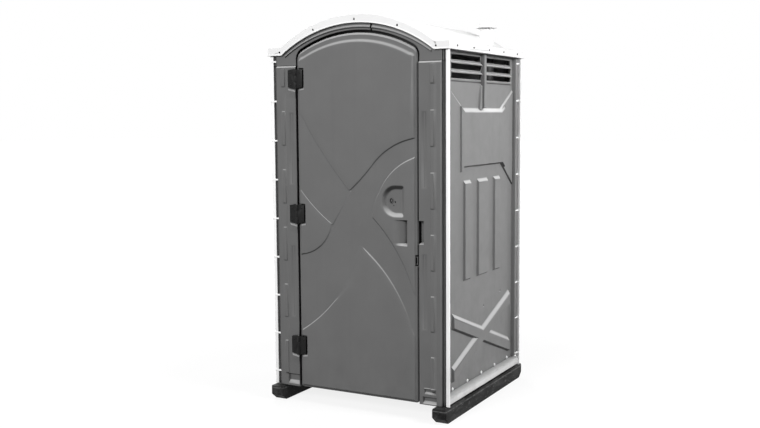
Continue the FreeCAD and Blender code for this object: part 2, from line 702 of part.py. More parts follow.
def make_jamb(side):
    """The left or right post of the doorway; the right one takes the bolt and the fingers."""
    height = (JAMB_FOOT_Z, JAMB_TOP_Z)
    post = prism(jamb_section(), "z", *height)
    inside = prism(jamb_hollow(), "z", height[0] + FRAME_SHEET, height[1] - FRAME_SHEET)
    post = post.cut(inside)
    column_y = JAMB_FACE_Y - COLUMN_RISE
    bottom_pad = pad_heights()[-1][0]
    parts = [post, front_boss(COLUMN_X, (bottom_pad, JAMB_TOP_Z), JAMB_FACE_Y + 1, column_y, 2.0)]
    for z in pad_heights():
        parts.append(front_boss((COLUMN_X[0] + 2, COLUMN_X[1] - 2), z, column_y + 1, column_y - PAD_RISE,
                                PAD_SLOPE / 2))
    pocket_back = JAMB_FACE_Y + FOOT_POCKET_DEPTH
    walls = (FOOT_POCKET_X[0] - SHEET, FOOT_POCKET_X[1] + SHEET)
    parts.append(box(walls, (JAMB_FACE_Y + 1, pocket_back + SHEET),
                     (FOOT_POCKET_Z[0] - SHEET, FOOT_POCKET_Z[1] + SHEET)))
    edge = JAMB_INNER_X
    if side > 0:
        finger_back = JAMB_FACE_Y + FINGER_POCKET_DEPTH
        parts.append(box((edge + 1, edge + FINGER_POCKET_WIDTH + SHEET),
                         (JAMB_FACE_Y + 1, finger_back + SHEET),
                         (FINGER_POCKET_Z[0] - SHEET, FINGER_POCKET_Z[1] + SHEET)))
    post = joined(parts)
    cuts = [box(SLOT_X, (JAMB_FACE_Y - 1, JAMB_FACE_Y + SLOT_DEPTH), z) for z in SLOTS_Z]
    cuts.append(box(FOOT_POCKET_X, (JAMB_FACE_Y - 1, pocket_back), FOOT_POCKET_Z))
    if side > 0:
        cuts.append(box((edge - 1, edge + FINGER_POCKET_WIDTH), (JAMB_FACE_Y - 1, finger_back),
                        FINGER_POCKET_Z))
        cuts.append(bolt_passage(edge - 1, edge + FRAME_SHEET + 1))
    post = post.cut(cuts)
    slats = [box(FOOT_POCKET_X, (JAMB_FACE_Y + SLOT_DEPTH, pocket_back), z) for z in FOOT_SLATS_Z]
    post = joined([post] + slats)
    return post if side > 0 else mirrored(post)


def door_outline(grow, y):
    """The door's outline as a closed wire in the plane y, grown outwards by grow."""
    half = DOOR_HALF_WIDTH + grow
    foot = DOOR_BOTTOM_Z - grow
    radius = DOOR_ARCH_RADIUS + grow
    centre_z = DOOR_TOP_Z - DOOR_ARCH_RADIUS
    corner = DOOR_ARCH_CORNER + grow
    heel = max(DOOR_FOOT_CORNER + grow, 1.0)
    corner_x = half - corner
    corner_z = centre_z + math.sqrt((radius - corner) ** 2 - corner_x ** 2)
    angle = math.atan2(corner_z - centre_z, corner_x)

    def on_corner(side, a):
        return V(side * (corner_x + corner * math.cos(a)), y, corner_z + corner * math.sin(a))

    def on_heel(side, a):
        return V(side * (half - heel + heel * math.cos(a)), y, foot + heel + heel * math.sin(a))

    def heel_arc(side, start, end):
        return Part.Arc(on_heel(side, start), on_heel(side, (start + end) / 2),
                        on_heel(side, end)).toShape()

    right = Part.Arc(on_corner(1, 0), on_corner(1, angle / 2), on_corner(1, angle)).toShape()
    arch = Part.Arc(on_corner(1, angle), V(0, y, centre_z + radius), on_corner(-1, angle)).toShape()
    left = Part.Arc(on_corner(-1, angle), on_corner(-1, angle / 2), on_corner(-1, 0)).toShape()
    quarter = math.pi / 2
    edges = [Part.makeLine(on_heel(-1, -quarter), on_heel(1, -quarter)), heel_arc(1, -quarter, 0),
             Part.makeLine(on_heel(1, 0), on_corner(1, 0)), right, arch, left,
             Part.makeLine(on_corner(-1, 0), on_heel(-1, 0)), heel_arc(-1, 0, -quarter)]
    return Part.Wire(edges)


def door_block(grow, low_y, high_y):
    return Part.Face(door_outline(grow, low_y)).extrude(V(0, high_y - low_y, 0))


def make_header():
    """The arched piece over the door, between the jambs and the roof."""
    top_drop = ROOF_SKIN + ROOF_FIT
    inner = WALL_INNER_X - CLEARANCE
    block = under_roof(top_drop, inner, JAMB_TOP_Z, HEADER_FACE_Y, JAMB_BACK_Y)
    flange = box((-STRIP_INNER_X, STRIP_INNER_X), (HEADER_FACE_Y, JAMB_EDGE_Y + FRAME_SHEET),
                 (JAMB_TOP_Z, WALL_HEAD_Z))
    block = block.fuse(flange)
    space = under_roof(top_drop + FRAME_SHEET, inner - FRAME_SHEET, JAMB_TOP_Z + FRAME_SHEET,
                       HEADER_FACE_Y + FRAME_SHEET, JAMB_BACK_Y + 1)
    space = space.cut(door_block(DOOR_GAP + FRAME_SHEET, HEADER_FACE_Y - 1, JAMB_BACK_Y + 2))
    block = block.cut(space)
    block = block.cut(door_block(DOOR_GAP, HEADER_FACE_Y - 1, STOP_FRONT_Y))
    block = block.cut(door_block(-STOP_LAP, HEADER_FACE_Y - 1, JAMB_BACK_Y + 1))
    return merged(block.cut(roof_end_screw_holes(ROOF_FRONT_Y, 1)))


# Roof

def make_roof():
    shell = under_roof(0, ROOF_HALF_WIDTH, EAVES_Z, ROOF_FRONT_Y, ROOF_REAR_Y)
    corners = [e for e in shell.Edges if abs(abs(e.CenterOfMass.x) - ROOF_HALF_WIDTH) < 1
               and e.CenterOfMass.z > EAVES_Z + 1]
    shell = shell.makeFillet(ROOF_EDGE_RADIUS, corners)
    space = under_roof(ROOF_SKIN, ROOF_HALF_WIDTH - ROOF_SKIN, EAVES_Z - 1, ROOF_FRONT_Y + ROOF_SKIN,
                       ROOF_REAR_Y - ROOF_SKIN)
    shell = shell.cut(space)
    a, b, top, c, d = roof_line(ROOF_SKIRT, ROOF_HALF_WIDTH, ROOF_EAR_HALF)
    face = Part.Face(Part.Wire([Part.Arc(b, top, c).toShape(), Part.makeLine(c, b)]))
    face.translate(V(0, ROOF_FRONT_Y - 1, 0))
    shell = shell.cut(face.extrude(V(0, ROOF_REAR_Y - ROOF_FRONT_Y + 2, 0)))
    vent = rod((VENT_X, VENT_Y, EAVES_Z), (0, 0, 1), VENT_RADIUS + CLEARANCE, ROOF_SKIRT + ROOF_RISE)
    side = roof_side_screw_holes()
    holes = roof_end_screw_holes(ROOF_FRONT_Y, 1) + roof_end_screw_holes(ROOF_REAR_Y, -1)
    holes += side + [mirrored(h) for h in side]
    return shell.cut(holes + [vent])


def make_vent_pipe():
    foot = TANK_TOP_Z - TANK_WALL
    outer = rod((VENT_X, VENT_Y, foot), (0, 0, 1), VENT_RADIUS, VENT_TOP_Z - foot)
    inner = rod((VENT_X, VENT_Y, foot - 1), (0, 0, 1), VENT_RADIUS - VENT_WALL, VENT_TOP_Z - foot + 2)
    return outer.cut(inner)


def make_vent_cap():
    """A round rain hat on three legs that stand on the pipe's rim."""
    crown_z = VENT_TOP_Z + CAP_RISE - CAP_SKIRT
    crown_radius = CAP_RADIUS - CAP_CROWN_INSET
    outer = Part.makeCone(CAP_RADIUS, crown_radius, CAP_SKIRT, V(VENT_X, VENT_Y, crown_z))
    inner = Part.makeCone(CAP_RADIUS - CAP_WALL, crown_radius - CAP_WALL, CAP_SKIRT - CAP_WALL,
                          V(VENT_X, VENT_Y, crown_z))
    parts = [outer.cut(inner)]
    middle = VENT_RADIUS - VENT_WALL / 2
    for turn in (0, 120, 240):
        leg = box((-CAP_LEG_HALF_WIDTH, CAP_LEG_HALF_WIDTH), (middle - VENT_WALL, middle + VENT_WALL),
                  (VENT_TOP_Z, VENT_TOP_Z + CAP_RISE - CAP_WALL / 2))
        leg.rotate(V(0, 0, 0), V(0, 0, 1), turn)
        leg.translate(V(VENT_X, VENT_Y, 0))
        parts.append(leg)
    return joined(parts)


# Door

def islands():
    """The raised fields between the crossing channels of the door, each a closed chain of curves."""
    left = -DOOR_HALF_WIDTH + DOOR_RIM_WIDTH
    right = DOOR_HALF_WIDTH - DOOR_RIM_WIDTH
    top = DOOR_TOP_Z + 100
    return {
        "top": [[(left, top), (left, 1720)], [(left, 1720), (-245, 1540), (-42, 1290)],
                [(-42, 1290), (20, 1345), (110, 1440)], [(110, 1440), (210, 1530), (right, 1592)],
                [(right, 1592), (right, top)], [(right, top), (left, top)]],
        "left": [[(left, 1280), (-290, 1205), (-160, 1100)], [(-160, 1100), (-215, 985), (left, 905)],
                 [(left, 905), (left, 1280)]],
        "right": [[(right, 1487), (235, 1410), (150, 1290)], [(150, 1290), (118, 1220), (105, 1145)],
                  [(105, 1145), (260, 960), (right, 750)], [(right, 750), (right, 1487)]],
        "bottom": [[(left, 60), (left, 460)], [(left, 460), (-190, 600), (-40, 800)],
                   [(-40, 800), (35, 975)], [(35, 975), (225, 788), (right, 520)],
                   [(right, 520), (right, 60)], [(right, 60), (left, 60)]],
    }


def upper_channel():
    """The channel from the upper left, which lies a little higher than the one it meets."""
    left = -DOOR_HALF_WIDTH + DOOR_RIM_WIDTH
    return [[(left, 1720), (-245, 1540), (-42, 1290)], [(-42, 1290), (-160, 1100)],
            [(-160, 1100), (-290, 1205), (left, 1280)], [(left, 1280), (left, 1720)]]


def curved_face(chain, y):
    """A face in the XZ plane from straight pieces and arcs through three points."""
    edges = []
    for points in chain:
        ends = [V(x, y, z) for x, z in points]
        edges.append(Part.makeLine(*ends) if len(ends) == 2 else Part.Arc(*ends).toShape())
    return Part.Face(Part.Wire(edges))


def dish_wire(grow, y):
    """The D-shaped recess around the lock: round on the left, square on the right."""
    radius = DISH_RADIUS + grow
    right = DISH_RIGHT_X + grow
    corner = DISH_CORNER
    top = DISH_Z + radius
    low = DISH_Z - radius
    dip = corner * (1 - math.sqrt(0.5))
    edges = [Part.Arc(V(DISH_X, y, top), V(DISH_X - radius, y, DISH_Z), V(DISH_X, y, low)).toShape(),
             Part.makeLine(V(DISH_X, y, low), V(right - corner, y, low)),
             Part.Arc(V(right - corner, y, low), V(right - dip, y, low + dip),
                      V(right, y, low + corner)).toShape(),
             Part.makeLine(V(right, y, low + corner), V(right, y, top - corner)),
             Part.Arc(V(right, y, top - corner), V(right - dip, y, top - dip),
                      V(right - corner, y, top)).toShape(),
             Part.makeLine(V(right - corner, y, top), V(DISH_X, y, top))]
    return Part.Wire(edges)


def dish_solid(outer_y, inner_y, grow):
    return Part.makeLoft([dish_wire(grow, outer_y), dish_wire(grow - DISH_SLOPE, inner_y)], True, True)


def bolt_passage(low_x, high_x):
    """The slot that the bolt runs through, in the door's edge and in the jamb."""
    return box((low_x, high_x), (GEAR_FRONT_Y - BOLT_FIT, GEAR_BACK_Y + BOLT_FIT),
               (BOLT_TOP_Z - BOLT_HEIGHT - BOLT_FIT, BOLT_TOP_Z + BOLT_FIT))


def hinge_pockets():
    """Level seats for the hinge leaves in the door's panel."""
    half = HINGE_HEIGHT / 2 + CLEARANCE
    pockets = []
    for z in HINGE_CENTRES_Z.values():
        pockets.append(box((-DOOR_HALF_WIDTH - 1, HINGE_AXIS_X + HINGE_LEAF + CLEARANCE + 1),
                           (DOOR_FACE_Y - 1, DOOR_RIM_Y), (z - half - 1, z + half + 1)))
    return pockets


def make_door_skin():
    """The outer shell: a tray with a raised panel, four fields, the lock dish and the pull pocket."""
    tray = door_block(0, DOOR_RIM_Y, DOOR_BACK_Y)
    tray = tray.cut(door_block(-SHEET, DOOR_RIM_Y + SHEET, DOOR_BACK_Y + 1))
    behind_panel = door_block(-DOOR_RIM_WIDTH - SHEET, DOOR_PANEL_Y + SHEET, DOOR_RIM_Y + SHEET + 1)
    panel = door_block(-DOOR_RIM_WIDTH, DOOR_PANEL_Y, DOOR_RIM_Y + 1)
    limit = door_block(-DOOR_RIM_WIDTH - DRAFT / 2, DOOR_FACE_Y - 1, DOOR_RIM_Y + 1)
    fields = []
    levels = [(chain, DOOR_FACE_Y) for chain in islands().values()] + [(upper_channel(), UPPER_CHANNEL_Y)]
    for chain, level in levels:
        field = curved_face(chain, level).extrude(V(0, DOOR_RIM_Y + 1 - level, 0))
        fields.append(field.common(limit))
    cup = dish_solid(DOOR_RIM_Y + 1, DISH_FLOOR_Y + SHEET, SHEET)
    ramp = prism([(PULL_X[0] - SHEET, DOOR_RIM_Y + 1), (PULL_X[1] + SHEET, DOOR_RIM_Y + 1),
                  (PULL_X[1] + SHEET, DOOR_FACE_Y + PULL_DEPTH + SHEET),
                  (PULL_X[1] - PULL_FLOOR - SHEET, DOOR_FACE_Y + PULL_DEPTH + SHEET)],
                 "z", PULL_Z[0] - SHEET, PULL_Z[1] + SHEET)
    skin = joined([tray, panel] + fields).cut(behind_panel)
    skin = joined([skin, cup, ramp])
    dish = dish_solid(DOOR_FACE_Y - 1, DISH_FLOOR_Y, 0)
    pull = prism([(PULL_X[0], DOOR_FACE_Y - 1), (PULL_X[1], DOOR_FACE_Y - 1),
                  (PULL_X[1], DOOR_FACE_Y + PULL_DEPTH),
                  (PULL_X[1] - PULL_FLOOR, DOOR_FACE_Y + PULL_DEPTH), (PULL_X[0], DOOR_FACE_Y)],
                 "z", *PULL_Z)
    bore = rod((LOCK_X, DOOR_FACE_Y, LOCK_Z), (0, 1, 0), SPINDLE_RADIUS + RUNNING_FIT, DOOR_DEPTH)
    notch = box((DOOR_HALF_WIDTH - STAPLE_NOTCH, DOOR_HALF_WIDTH + 1),
                (DOOR_FACE_Y - 1, DOOR_RIM_Y + SHEET * 3), STAPLE_Z)
    passage = bolt_passage(DOOR_HALF_WIDTH - SHEET - 1, DOOR_HALF_WIDTH + 1)
    notch_wall = box((DOOR_HALF_WIDTH - STAPLE_NOTCH - SHEET, DOOR_HALF_WIDTH - 1),
                     (DOOR_RIM_Y + 1, DOOR_RIM_Y + SHEET * 4),
                     (STAPLE_Z[0] - SHEET, STAPLE_Z[1] + SHEET))
    skin = skin.fuse(notch_wall)
    return merged(skin.cut([dish, pull, bore, notch, passage] + hinge_pockets()))


def make_door_liner():
    """The inner shell: a plate set into the tray, with a large dished panel above and below the lock."""
    inset = -SHEET - CLEARANCE
    plate = door_block(inset, LINER_FRONT_Y, DOOR_BACK_Y)
    half = DOOR_HALF_WIDTH - 2 * DOOR_RIM_WIDTH
    liner = plate
    for heights in LINER_PANELS_Z:
        outline = rectangle((-half, half), heights)
        outer = boss(outline, -LINER_FRONT_Y - 1, -LINER_FRONT_Y + LINER_RECESS, DRAFT)
        inner = boss(shrink(outline, SHEET), -DOOR_BACK_Y - 1, -LINER_FRONT_Y + LINER_RECESS - SHEET, DRAFT)
        liner = liner.fuse(on_front(outer)).cut(on_front(inner))
    bore = rod((LOCK_X, LINER_FRONT_Y - 1, LOCK_Z), (0, 1, 0), SPINDLE_RADIUS + RUNNING_FIT,
               LINER_THICKNESS + 2)
    return merged(liner.cut(bore))


def make_door_pull():
    """The grip on the inside of the door."""
    x = (PULL_X[0], PULL_X[0] + GRIP_WIDTH)
    back = DOOR_BACK_Y + GRIP_STAND
    low = (PULL_Z[0] + PULL_Z[1] - GRIP_LENGTH) / 2
    high = low + GRIP_LENGTH
    feet = [box(x, (DOOR_BACK_Y, back), z) for z in ((low, low + GRIP_FOOT), (high - GRIP_FOOT, high))]
    bar = box(x, (back - GRIP_THICKNESS, back), (low, high))
    pull = joined(feet + [bar])
    outer = [e for e in pull.Edges if e.CenterOfMass.y > back - 1]
    return pull.makeFillet(GRIP_THICKNESS * 0.3, outer)


def make_staple():
    """A bent wire loop in the notch of the door's edge, for a padlock."""
    x = DOOR_HALF_WIDTH - STAPLE_NOTCH
    radius = STAPLE_WIRE / 2
    y = DOOR_RIM_Y + SHEET
    low = STAPLE_Z[0] + STAPLE_INSET
    high = STAPLE_Z[1] - STAPLE_INSET
    reach = STAPLE_NOTCH - radius - 2
    legs = [rod((x, y, z), (1, 0, 0), radius, reach) for z in (low, high)]
    bow = rod((x + reach, y, low), (0, 0, 1), radius, high - low)
    knees = [Part.makeSphere(radius, V(x + reach, y, z)) for z in (low, high)]
    return joined(legs + [bow] + knees)


# Hinges

def hinge_leaf(centre_z, side, back_y):
    """One leaf with its share of the barrel: side -1 stands on the jamb, +1 on the door."""
    half = HINGE_HEIGHT / 2
    outer = HINGE_AXIS_X + side * HINGE_LEAF
    front = HINGE_AXIS_Y - HINGE_LEAF_THICKNESS / 4
    outline = [(HINGE_AXIS_X, centre_z - half), (outer, centre_z - half + HINGE_BEVEL),
               (outer, centre_z + half - HINGE_BEVEL / 2), (HINGE_AXIS_X, centre_z + half)]
    plate = prism(outline, "y", front, back_y)
    third = HINGE_HEIGHT / 3
    barrel = rod((HINGE_AXIS_X, HINGE_AXIS_Y, centre_z - half), (0, 0, 1), HINGE_BARREL_RADIUS,
                 HINGE_HEIGHT)
    keep = plate.fuse(barrel)
    clear = HINGE_BARREL_RADIUS + KNUCKLE_GAP
    middle = rod((HINGE_AXIS_X, HINGE_AXIS_Y, centre_z - third / 2 - KNUCKLE_GAP / 2), (0, 0, 1), clear,
                 third + KNUCKLE_GAP)
    ends = [rod((HINGE_AXIS_X, HINGE_AXIS_Y, z), (0, 0, 1), clear, third + 2) for z in
            (centre_z - half - 2, centre_z + third / 2)]
    bore = rod((HINGE_AXIS_X, HINGE_AXIS_Y, centre_z - half - 1), (0, 0, 1), HINGE_PIN_RADIUS + RUNNING_FIT,
               HINGE_HEIGHT + 2)
    cuts = [middle] if side < 0 else ends
    return merged(keep.cut(cuts + [bore]))


def make_hinge(centre_z):
    frame_leaf = hinge_leaf(centre_z, -1, JAMB_FACE_Y)
    door_leaf = hinge_leaf(centre_z, 1, DOOR_RIM_Y)
    half = HINGE_HEIGHT / 2
    pin = rod((HINGE_AXIS_X, HINGE_AXIS_Y, centre_z - half), (0, 0, 1), HINGE_PIN_RADIUS, HINGE_HEIGHT)
    heads = [rod((HINGE_AXIS_X, HINGE_AXIS_Y, z), (0, 0, 1), HINGE_PIN_RADIUS * 1.5, PIN_HEAD)
             for z in (centre_z - half - PIN_HEAD, centre_z + half)]
    return frame_leaf, door_leaf, joined([pin] + heads)


# Lock

def tooth(pitch_y, tip_y, root_y):
    """Half widths of a straight-sided tooth at its tip and root, counted from the pitch line."""
    slope = math.tan(math.radians(TOOTH_SLOPE))
    half_pitch = math.pi * LOCK_MODULE / 4 - TOOTH_BACKLASH / 4
    return half_pitch - slope * (tip_y - pitch_y), half_pitch + slope * (pitch_y - root_y)


def make_pinion():
    """The wheel on the spindle, with straight-sided teeth; a gap faces down at rest."""
    tip = GEAR_RADIUS + LOCK_MODULE * TOOTH_TIP
    root = GEAR_RADIUS - LOCK_MODULE * TOOTH_ROOT
    tip_half, root_half = tooth(GEAR_RADIUS, tip, root)
    tip_half *= WHEEL_TIP_RELIEF
    parts = [rod((0, 0, 0), (0, 1, 0), root, GEAR_WIDTH)]
    for i in range(LOCK_TEETH):
        blank = prism([(-root_half, root - TOOTH_SUNK), (root_half, root - TOOTH_SUNK), (tip_half, tip),
                       (-tip_half, tip)],
                      "y", 0, GEAR_WIDTH)
        blank.rotate(V(0, 0, 0), V(0, 1, 0), 360.0 / LOCK_TEETH * (i + 0.5))
        parts.append(blank)
    wheel = joined(parts)
    wheel = wheel.cut(rod((0, -1, 0), (0, 1, 0), SPINDLE_RADIUS, GEAR_WIDTH + 2))
    wheel.translate(V(LOCK_X, GEAR_FRONT_Y, LOCK_Z))
    return wheel


def make_bolt():
    """The bar with its rack, drawn back into the door."""
    end = DOOR_HALF_WIDTH - BOLT_END_INSET
    parts = [box((LOCK_X - BOLT_TAIL, end), (GEAR_FRONT_Y, GEAR_BACK_Y),
                 (BOLT_TOP_Z - BOLT_HEIGHT, BOLT_TOP_Z))]
    tip_half, root_half = tooth(RACK_PITCH_Z, RACK_TIP_Z, BOLT_TOP_Z)
    pitch = math.pi * LOCK_MODULE
    foot = BOLT_TOP_Z - TOOTH_SUNK
    for i in range(-round(BOLT_TRAVEL / pitch) - 1, 2):
        x = LOCK_X + i * pitch
        parts.append(prism([(x - root_half, foot), (x + root_half, foot), (x + tip_half, RACK_TIP_Z),
                            (x - tip_half, RACK_TIP_Z)], "y", GEAR_FRONT_Y, GEAR_BACK_Y))
    return joined(parts)


def make_bolt_guides():
    """Two straps on the liner that the bolt runs through; the teeth pass through the left one."""
    guides = []
    left = LOCK_X - BOLT_TAIL + GUIDE_INSET
    right = DOOR_HALF_WIDTH - SHEET - GUIDE_EDGE
    for x, top in ((left, RACK_TIP_Z), (right, BOLT_TOP_Z)):
        low = BOLT_TOP_Z - BOLT_HEIGHT - BOLT_FIT
        outer = box((x, x + GUIDE_WIDTH), (GEAR_FRONT_Y - BOLT_FIT - GUIDE_FRONT, LINER_FRONT_Y),
                    (low - GUIDE_WALL, top + BOLT_FIT + GUIDE_WALL))
        window = box((x - 1, x + GUIDE_WIDTH + 1), (GEAR_FRONT_Y - BOLT_FIT, GEAR_BACK_Y + BOLT_FIT),
                     (low, top + BOLT_FIT))
        guides.append(outer.cut(window))
    return guides


def make_spindle():
    low = DISH_FLOOR_Y - CLEARANCE - DIAL_THICKNESS + DIAL_FACE
    high = DOOR_BACK_Y + CLEARANCE + KNOB_BASE
    return rod((LOCK_X, low, LOCK_Z), (0, 1, 0), SPINDLE_RADIUS, high - low)


def make_dial():
    """The round plate outside, with a coin slot and a pointer notch."""
    back = DISH_FLOOR_Y - CLEARANCE
    dial = rod((LOCK_X, back - DIAL_THICKNESS, LOCK_Z), (0, 1, 0), DIAL_RADIUS, DIAL_THICKNESS)
    hole = rod((LOCK_X, back - DIAL_THICKNESS + DIAL_FACE, LOCK_Z), (0, 1, 0), SPINDLE_RADIUS,
               DIAL_THICKNESS)
    slot = box((LOCK_X - DIAL_SLOT / 2, LOCK_X + DIAL_SLOT / 2),
               (back - DIAL_THICKNESS - 1, back - DIAL_THICKNESS + DIAL_SLOT_DEPTH),
               (LOCK_Z - DIAL_RADIUS * 0.7, LOCK_Z + DIAL_RADIUS * 0.7))
    return dial.cut([hole, slot])


def make_knob():
    """The thumb turn inside: a round base and a rounded bar."""
    front = DOOR_BACK_Y + CLEARANCE
    base = rod((LOCK_X, front, LOCK_Z), (0, 1, 0), KNOB_RADIUS, KNOB_BASE)
    half = KNOB_LENGTH / 2 - KNOB_WIDTH / 2
    bar = box((LOCK_X - KNOB_WIDTH / 2, LOCK_X + KNOB_WIDTH / 2), (front, front + KNOB_BASE + KNOB_HEIGHT),
              (LOCK_Z - half, LOCK_Z + half))
    ends = [rod((LOCK_X, front, z), (0, 1, 0), KNOB_WIDTH / 2, KNOB_BASE + KNOB_HEIGHT)
            for z in (LOCK_Z - half, LOCK_Z + half)]
    knob = joined([base, bar] + ends)
    return knob.cut(rod((LOCK_X, front - 1, LOCK_Z), (0, 1, 0), SPINDLE_RADIUS, KNOB_BASE + 1))


def make_keeper():
    """The plate behind the jamb's edge that the bolt enters."""
    low_x = JAMB_INNER_X + FRAME_SHEET
    slot = bolt_passage(low_x - 1, low_x + KEEPER_THICKNESS + 1)
    b = slot.BoundBox
    plate = box((low_x, low_x + KEEPER_THICKNESS),
                (JAMB_FACE_Y + FRAME_SHEET + 2, b.YMax + KEEPER_MARGIN / 2),
                (b.ZMin - KEEPER_MARGIN, b.ZMax + KEEPER_MARGIN))
    return plate.cut(slot)


# Tank, seat and lid

def oval(length, width, z, depth):
    """A flat-sided oval block centred on the seat, long along Y."""
    straight = (length - width) / 2
    middle = box((-width / 2, width / 2), (SEAT_CENTRE_Y - straight, SEAT_CENTRE_Y + straight),
                 (z, z + depth))
    ends = [rod((0, SEAT_CENTRE_Y + s * straight, z), (0, 0, 1), width / 2, depth) for s in (-1, 1)]
    return joined([middle] + ends)


def tank_profile(inset):
    return [(TANK_FRONT_Y + TANK_SLOPE + inset, FLOOR_TOP_Z + inset),
            (TANK_BACK_Y - inset, FLOOR_TOP_Z + inset),
            (TANK_BACK_Y - inset, TANK_TOP_Z - inset), (TANK_FRONT_Y + inset, TANK_TOP_Z - inset)]


def make_tank():
    half = TANK_HALF_WIDTH
    tank = prism(tank_profile(0), "x", -half, half)
    front = [e for e in tank.Edges
             if abs(e.CenterOfMass.x) < 1 and abs(e.CenterOfMass.y - TANK_FRONT_Y) < 1]
    tank = tank.makeFillet(TANK_RADIUS, front)
    space = prism(tank_profile(TANK_WALL), "x", -half + TANK_WALL, half - TANK_WALL)
    inner = [e for e in space.Edges
             if abs(e.CenterOfMass.x) < 1 and abs(e.CenterOfMass.y - TANK_FRONT_Y - TANK_WALL) < 1]
    space = space.makeFillet(TANK_RADIUS - TANK_WALL, inner)
    tank = tank.cut(space)
    hole = oval(SEAT_HOLE_LENGTH, SEAT_HOLE_WIDTH, TANK_TOP_Z - TANK_WALL - 1, TANK_WALL + 2)
    vent = rod((VENT_X, VENT_Y, TANK_TOP_Z - TANK_WALL - 1), (0, 0, 1), VENT_RADIUS + CLEARANCE,
               TANK_WALL + 2)
    x, y, z = drain_start()
    drain = rod((x, TANK_FRONT_Y - 1, z - DRAIN_DROP), (0, 1, 0), DRAIN_RADIUS + CLEARANCE,
                TANK_SLOPE + 2 * TANK_WALL)
    return merged(tank.cut([hole, vent, drain]))


def hub(side, slot):
    """Low and high x of one of the lugs on the seat's pin: slot 0 is next to the middle."""
    low = SEAT_LUGS_X + slot * (SEAT_LUG_WIDTH + SEAT_LUG_GAP)
    return sorted((side * low, side * (low + SEAT_LUG_WIDTH)))


def lug(x, low_z, high_z, radius):
    """A round eye on the seat's axis with an arm that runs forward."""
    eye = rod((x[0], SEAT_AXIS_Y, SEAT_AXIS_Z), (1, 0, 0), radius, x[1] - x[0])
    reach = SEAT_CENTRE_Y + SEAT_LENGTH / 2 - 40
    arm = box(x, (reach, SEAT_AXIS_Y), (low_z, high_z))
    return [eye, arm]


def seat_bore():
    span = 2 * (SEAT_LUGS_X + 4 * (SEAT_LUG_WIDTH + SEAT_LUG_GAP)) + 2
    return rod((-span / 2, SEAT_AXIS_Y, SEAT_AXIS_Z), (1, 0, 0), SEAT_PIN_RADIUS + RUNNING_FIT, span)


def make_seat():
    ring = oval(SEAT_LENGTH, SEAT_WIDTH, SEAT_UNDER_Z, SEAT_THICKNESS)
    hole = oval(SEAT_HOLE_LENGTH - 20, SEAT_HOLE_WIDTH - 10, SEAT_UNDER_Z - 1, SEAT_THICKNESS + 2)
    ring = ring.cut(hole)
    parts = [ring]
    for side in (-1, 1):
        parts += lug(hub(side, 1), SEAT_UNDER_Z + 4, SEAT_TOP_Z, SEAT_HUB_RADIUS)
        for y in (SEAT_CENTRE_Y - 120, SEAT_CENTRE_Y + 110):
            x = side * (SEAT_HOLE_WIDTH + SEAT_WIDTH) / 4
            parts.append(rod((x, y, SEAT_UNDER_Z - SEAT_BUFFER), (0, 0, 1), 9, SEAT_BUFFER + 1))
    seat = joined(parts)
    return seat.cut([seat_bore(), hole])


def make_lid():
    """Drawn shut on the seat, then turned up against the rear wall."""
    low = SEAT_TOP_Z + LID_GAP
    plate = oval(SEAT_LENGTH, SEAT_WIDTH, low, LID_THICKNESS)
    edge = [e for e in plate.Edges if abs(e.CenterOfMass.z - low - LID_THICKNESS) < 0.5]
    plate = plate.makeFillet(LID_THICKNESS * 0.4, edge)
    parts = [plate]
    for side in (-1, 1):
        parts += lug(hub(side, 2), low, low + LID_THICKNESS * 0.6, SEAT_HUB_RADIUS)
        x = hub(side, 2)
        parts.append(box(x, (SEAT_AXIS_Y - SEAT_HUB_RADIUS, SEAT_AXIS_Y),
                         (SEAT_AXIS_Z, low + LID_THICKNESS * 0.6)))
    lid = joined(parts).cut(seat_bore())
    lid.rotate(V(0, SEAT_AXIS_Y, SEAT_AXIS_Z), V(1, 0, 0), -LID_REST)
    return lid


def make_seat_brackets():
    """Two stands on the tank, each with a pair of ears for the pin."""
    stands = []
    for side in (-1, 1):
        ears = []
        for slot in (0, 3):
            x = hub(side, slot)
            ears.append(rod((x[0], SEAT_AXIS_Y, SEAT_AXIS_Z), (1, 0, 0), SEAT_HUB_RADIUS, SEAT_LUG_WIDTH))
            ears.append(box(x, (SEAT_AXIS_Y - SEAT_HUB_RADIUS, SEAT_AXIS_Y + SEAT_HUB_RADIUS),
                            (TANK_TOP_Z, SEAT_AXIS_Z)))
        x = sorted((hub(side, 0)[0], hub(side, 0)[1], hub(side, 3)[0], hub(side, 3)[1]))
        foot = box((x[0], x[-1]), (SEAT_AXIS_Y - SEAT_HUB_RADIUS, SEAT_AXIS_Y + SEAT_HUB_RADIUS + 12),
                   (TANK_TOP_Z, TANK_TOP_Z + BRACKET_FOOT))
        stands.append(joined(ears + [foot]).cut(seat_bore()))
    return stands


def make_seat_pins():
    pins = []
    for side in (-1, 1):
        x = sorted(hub(side, 0) + hub(side, 3))
        pin = rod((x[0] - PIN_HEAD, SEAT_AXIS_Y, SEAT_AXIS_Z), (1, 0, 0), SEAT_PIN_RADIUS,
                  x[-1] - x[0] + 2 * PIN_HEAD)
        heads = [rod((a, SEAT_AXIS_Y, SEAT_AXIS_Z), (1, 0, 0), SEAT_PIN_RADIUS * 1.4, PIN_HEAD)
                 for a in (x[0] - PIN_HEAD, x[-1])]
        pins.append(joined([pin] + heads))
    return pins


# Urinal on the right wall, drained into the tank

def urinal_profile(inset, open_top):
    """Side view of the bowl, (x, z): a tall back on the wall and a lip in front."""
    back = WALL_INNER_X - inset
    front = WALL_INNER_X - URINAL_REACH + inset
    top = URINAL_TOP_Z + open_top
    low = URINAL_TOP_Z - URINAL_HEIGHT + inset
    return [(back, low), (back, top), (back - URINAL_SHOULDER, top), (front, top - URINAL_LIP_DROP),
            (front, low + URINAL_CHIN), (back - URINAL_SUMP, low)]


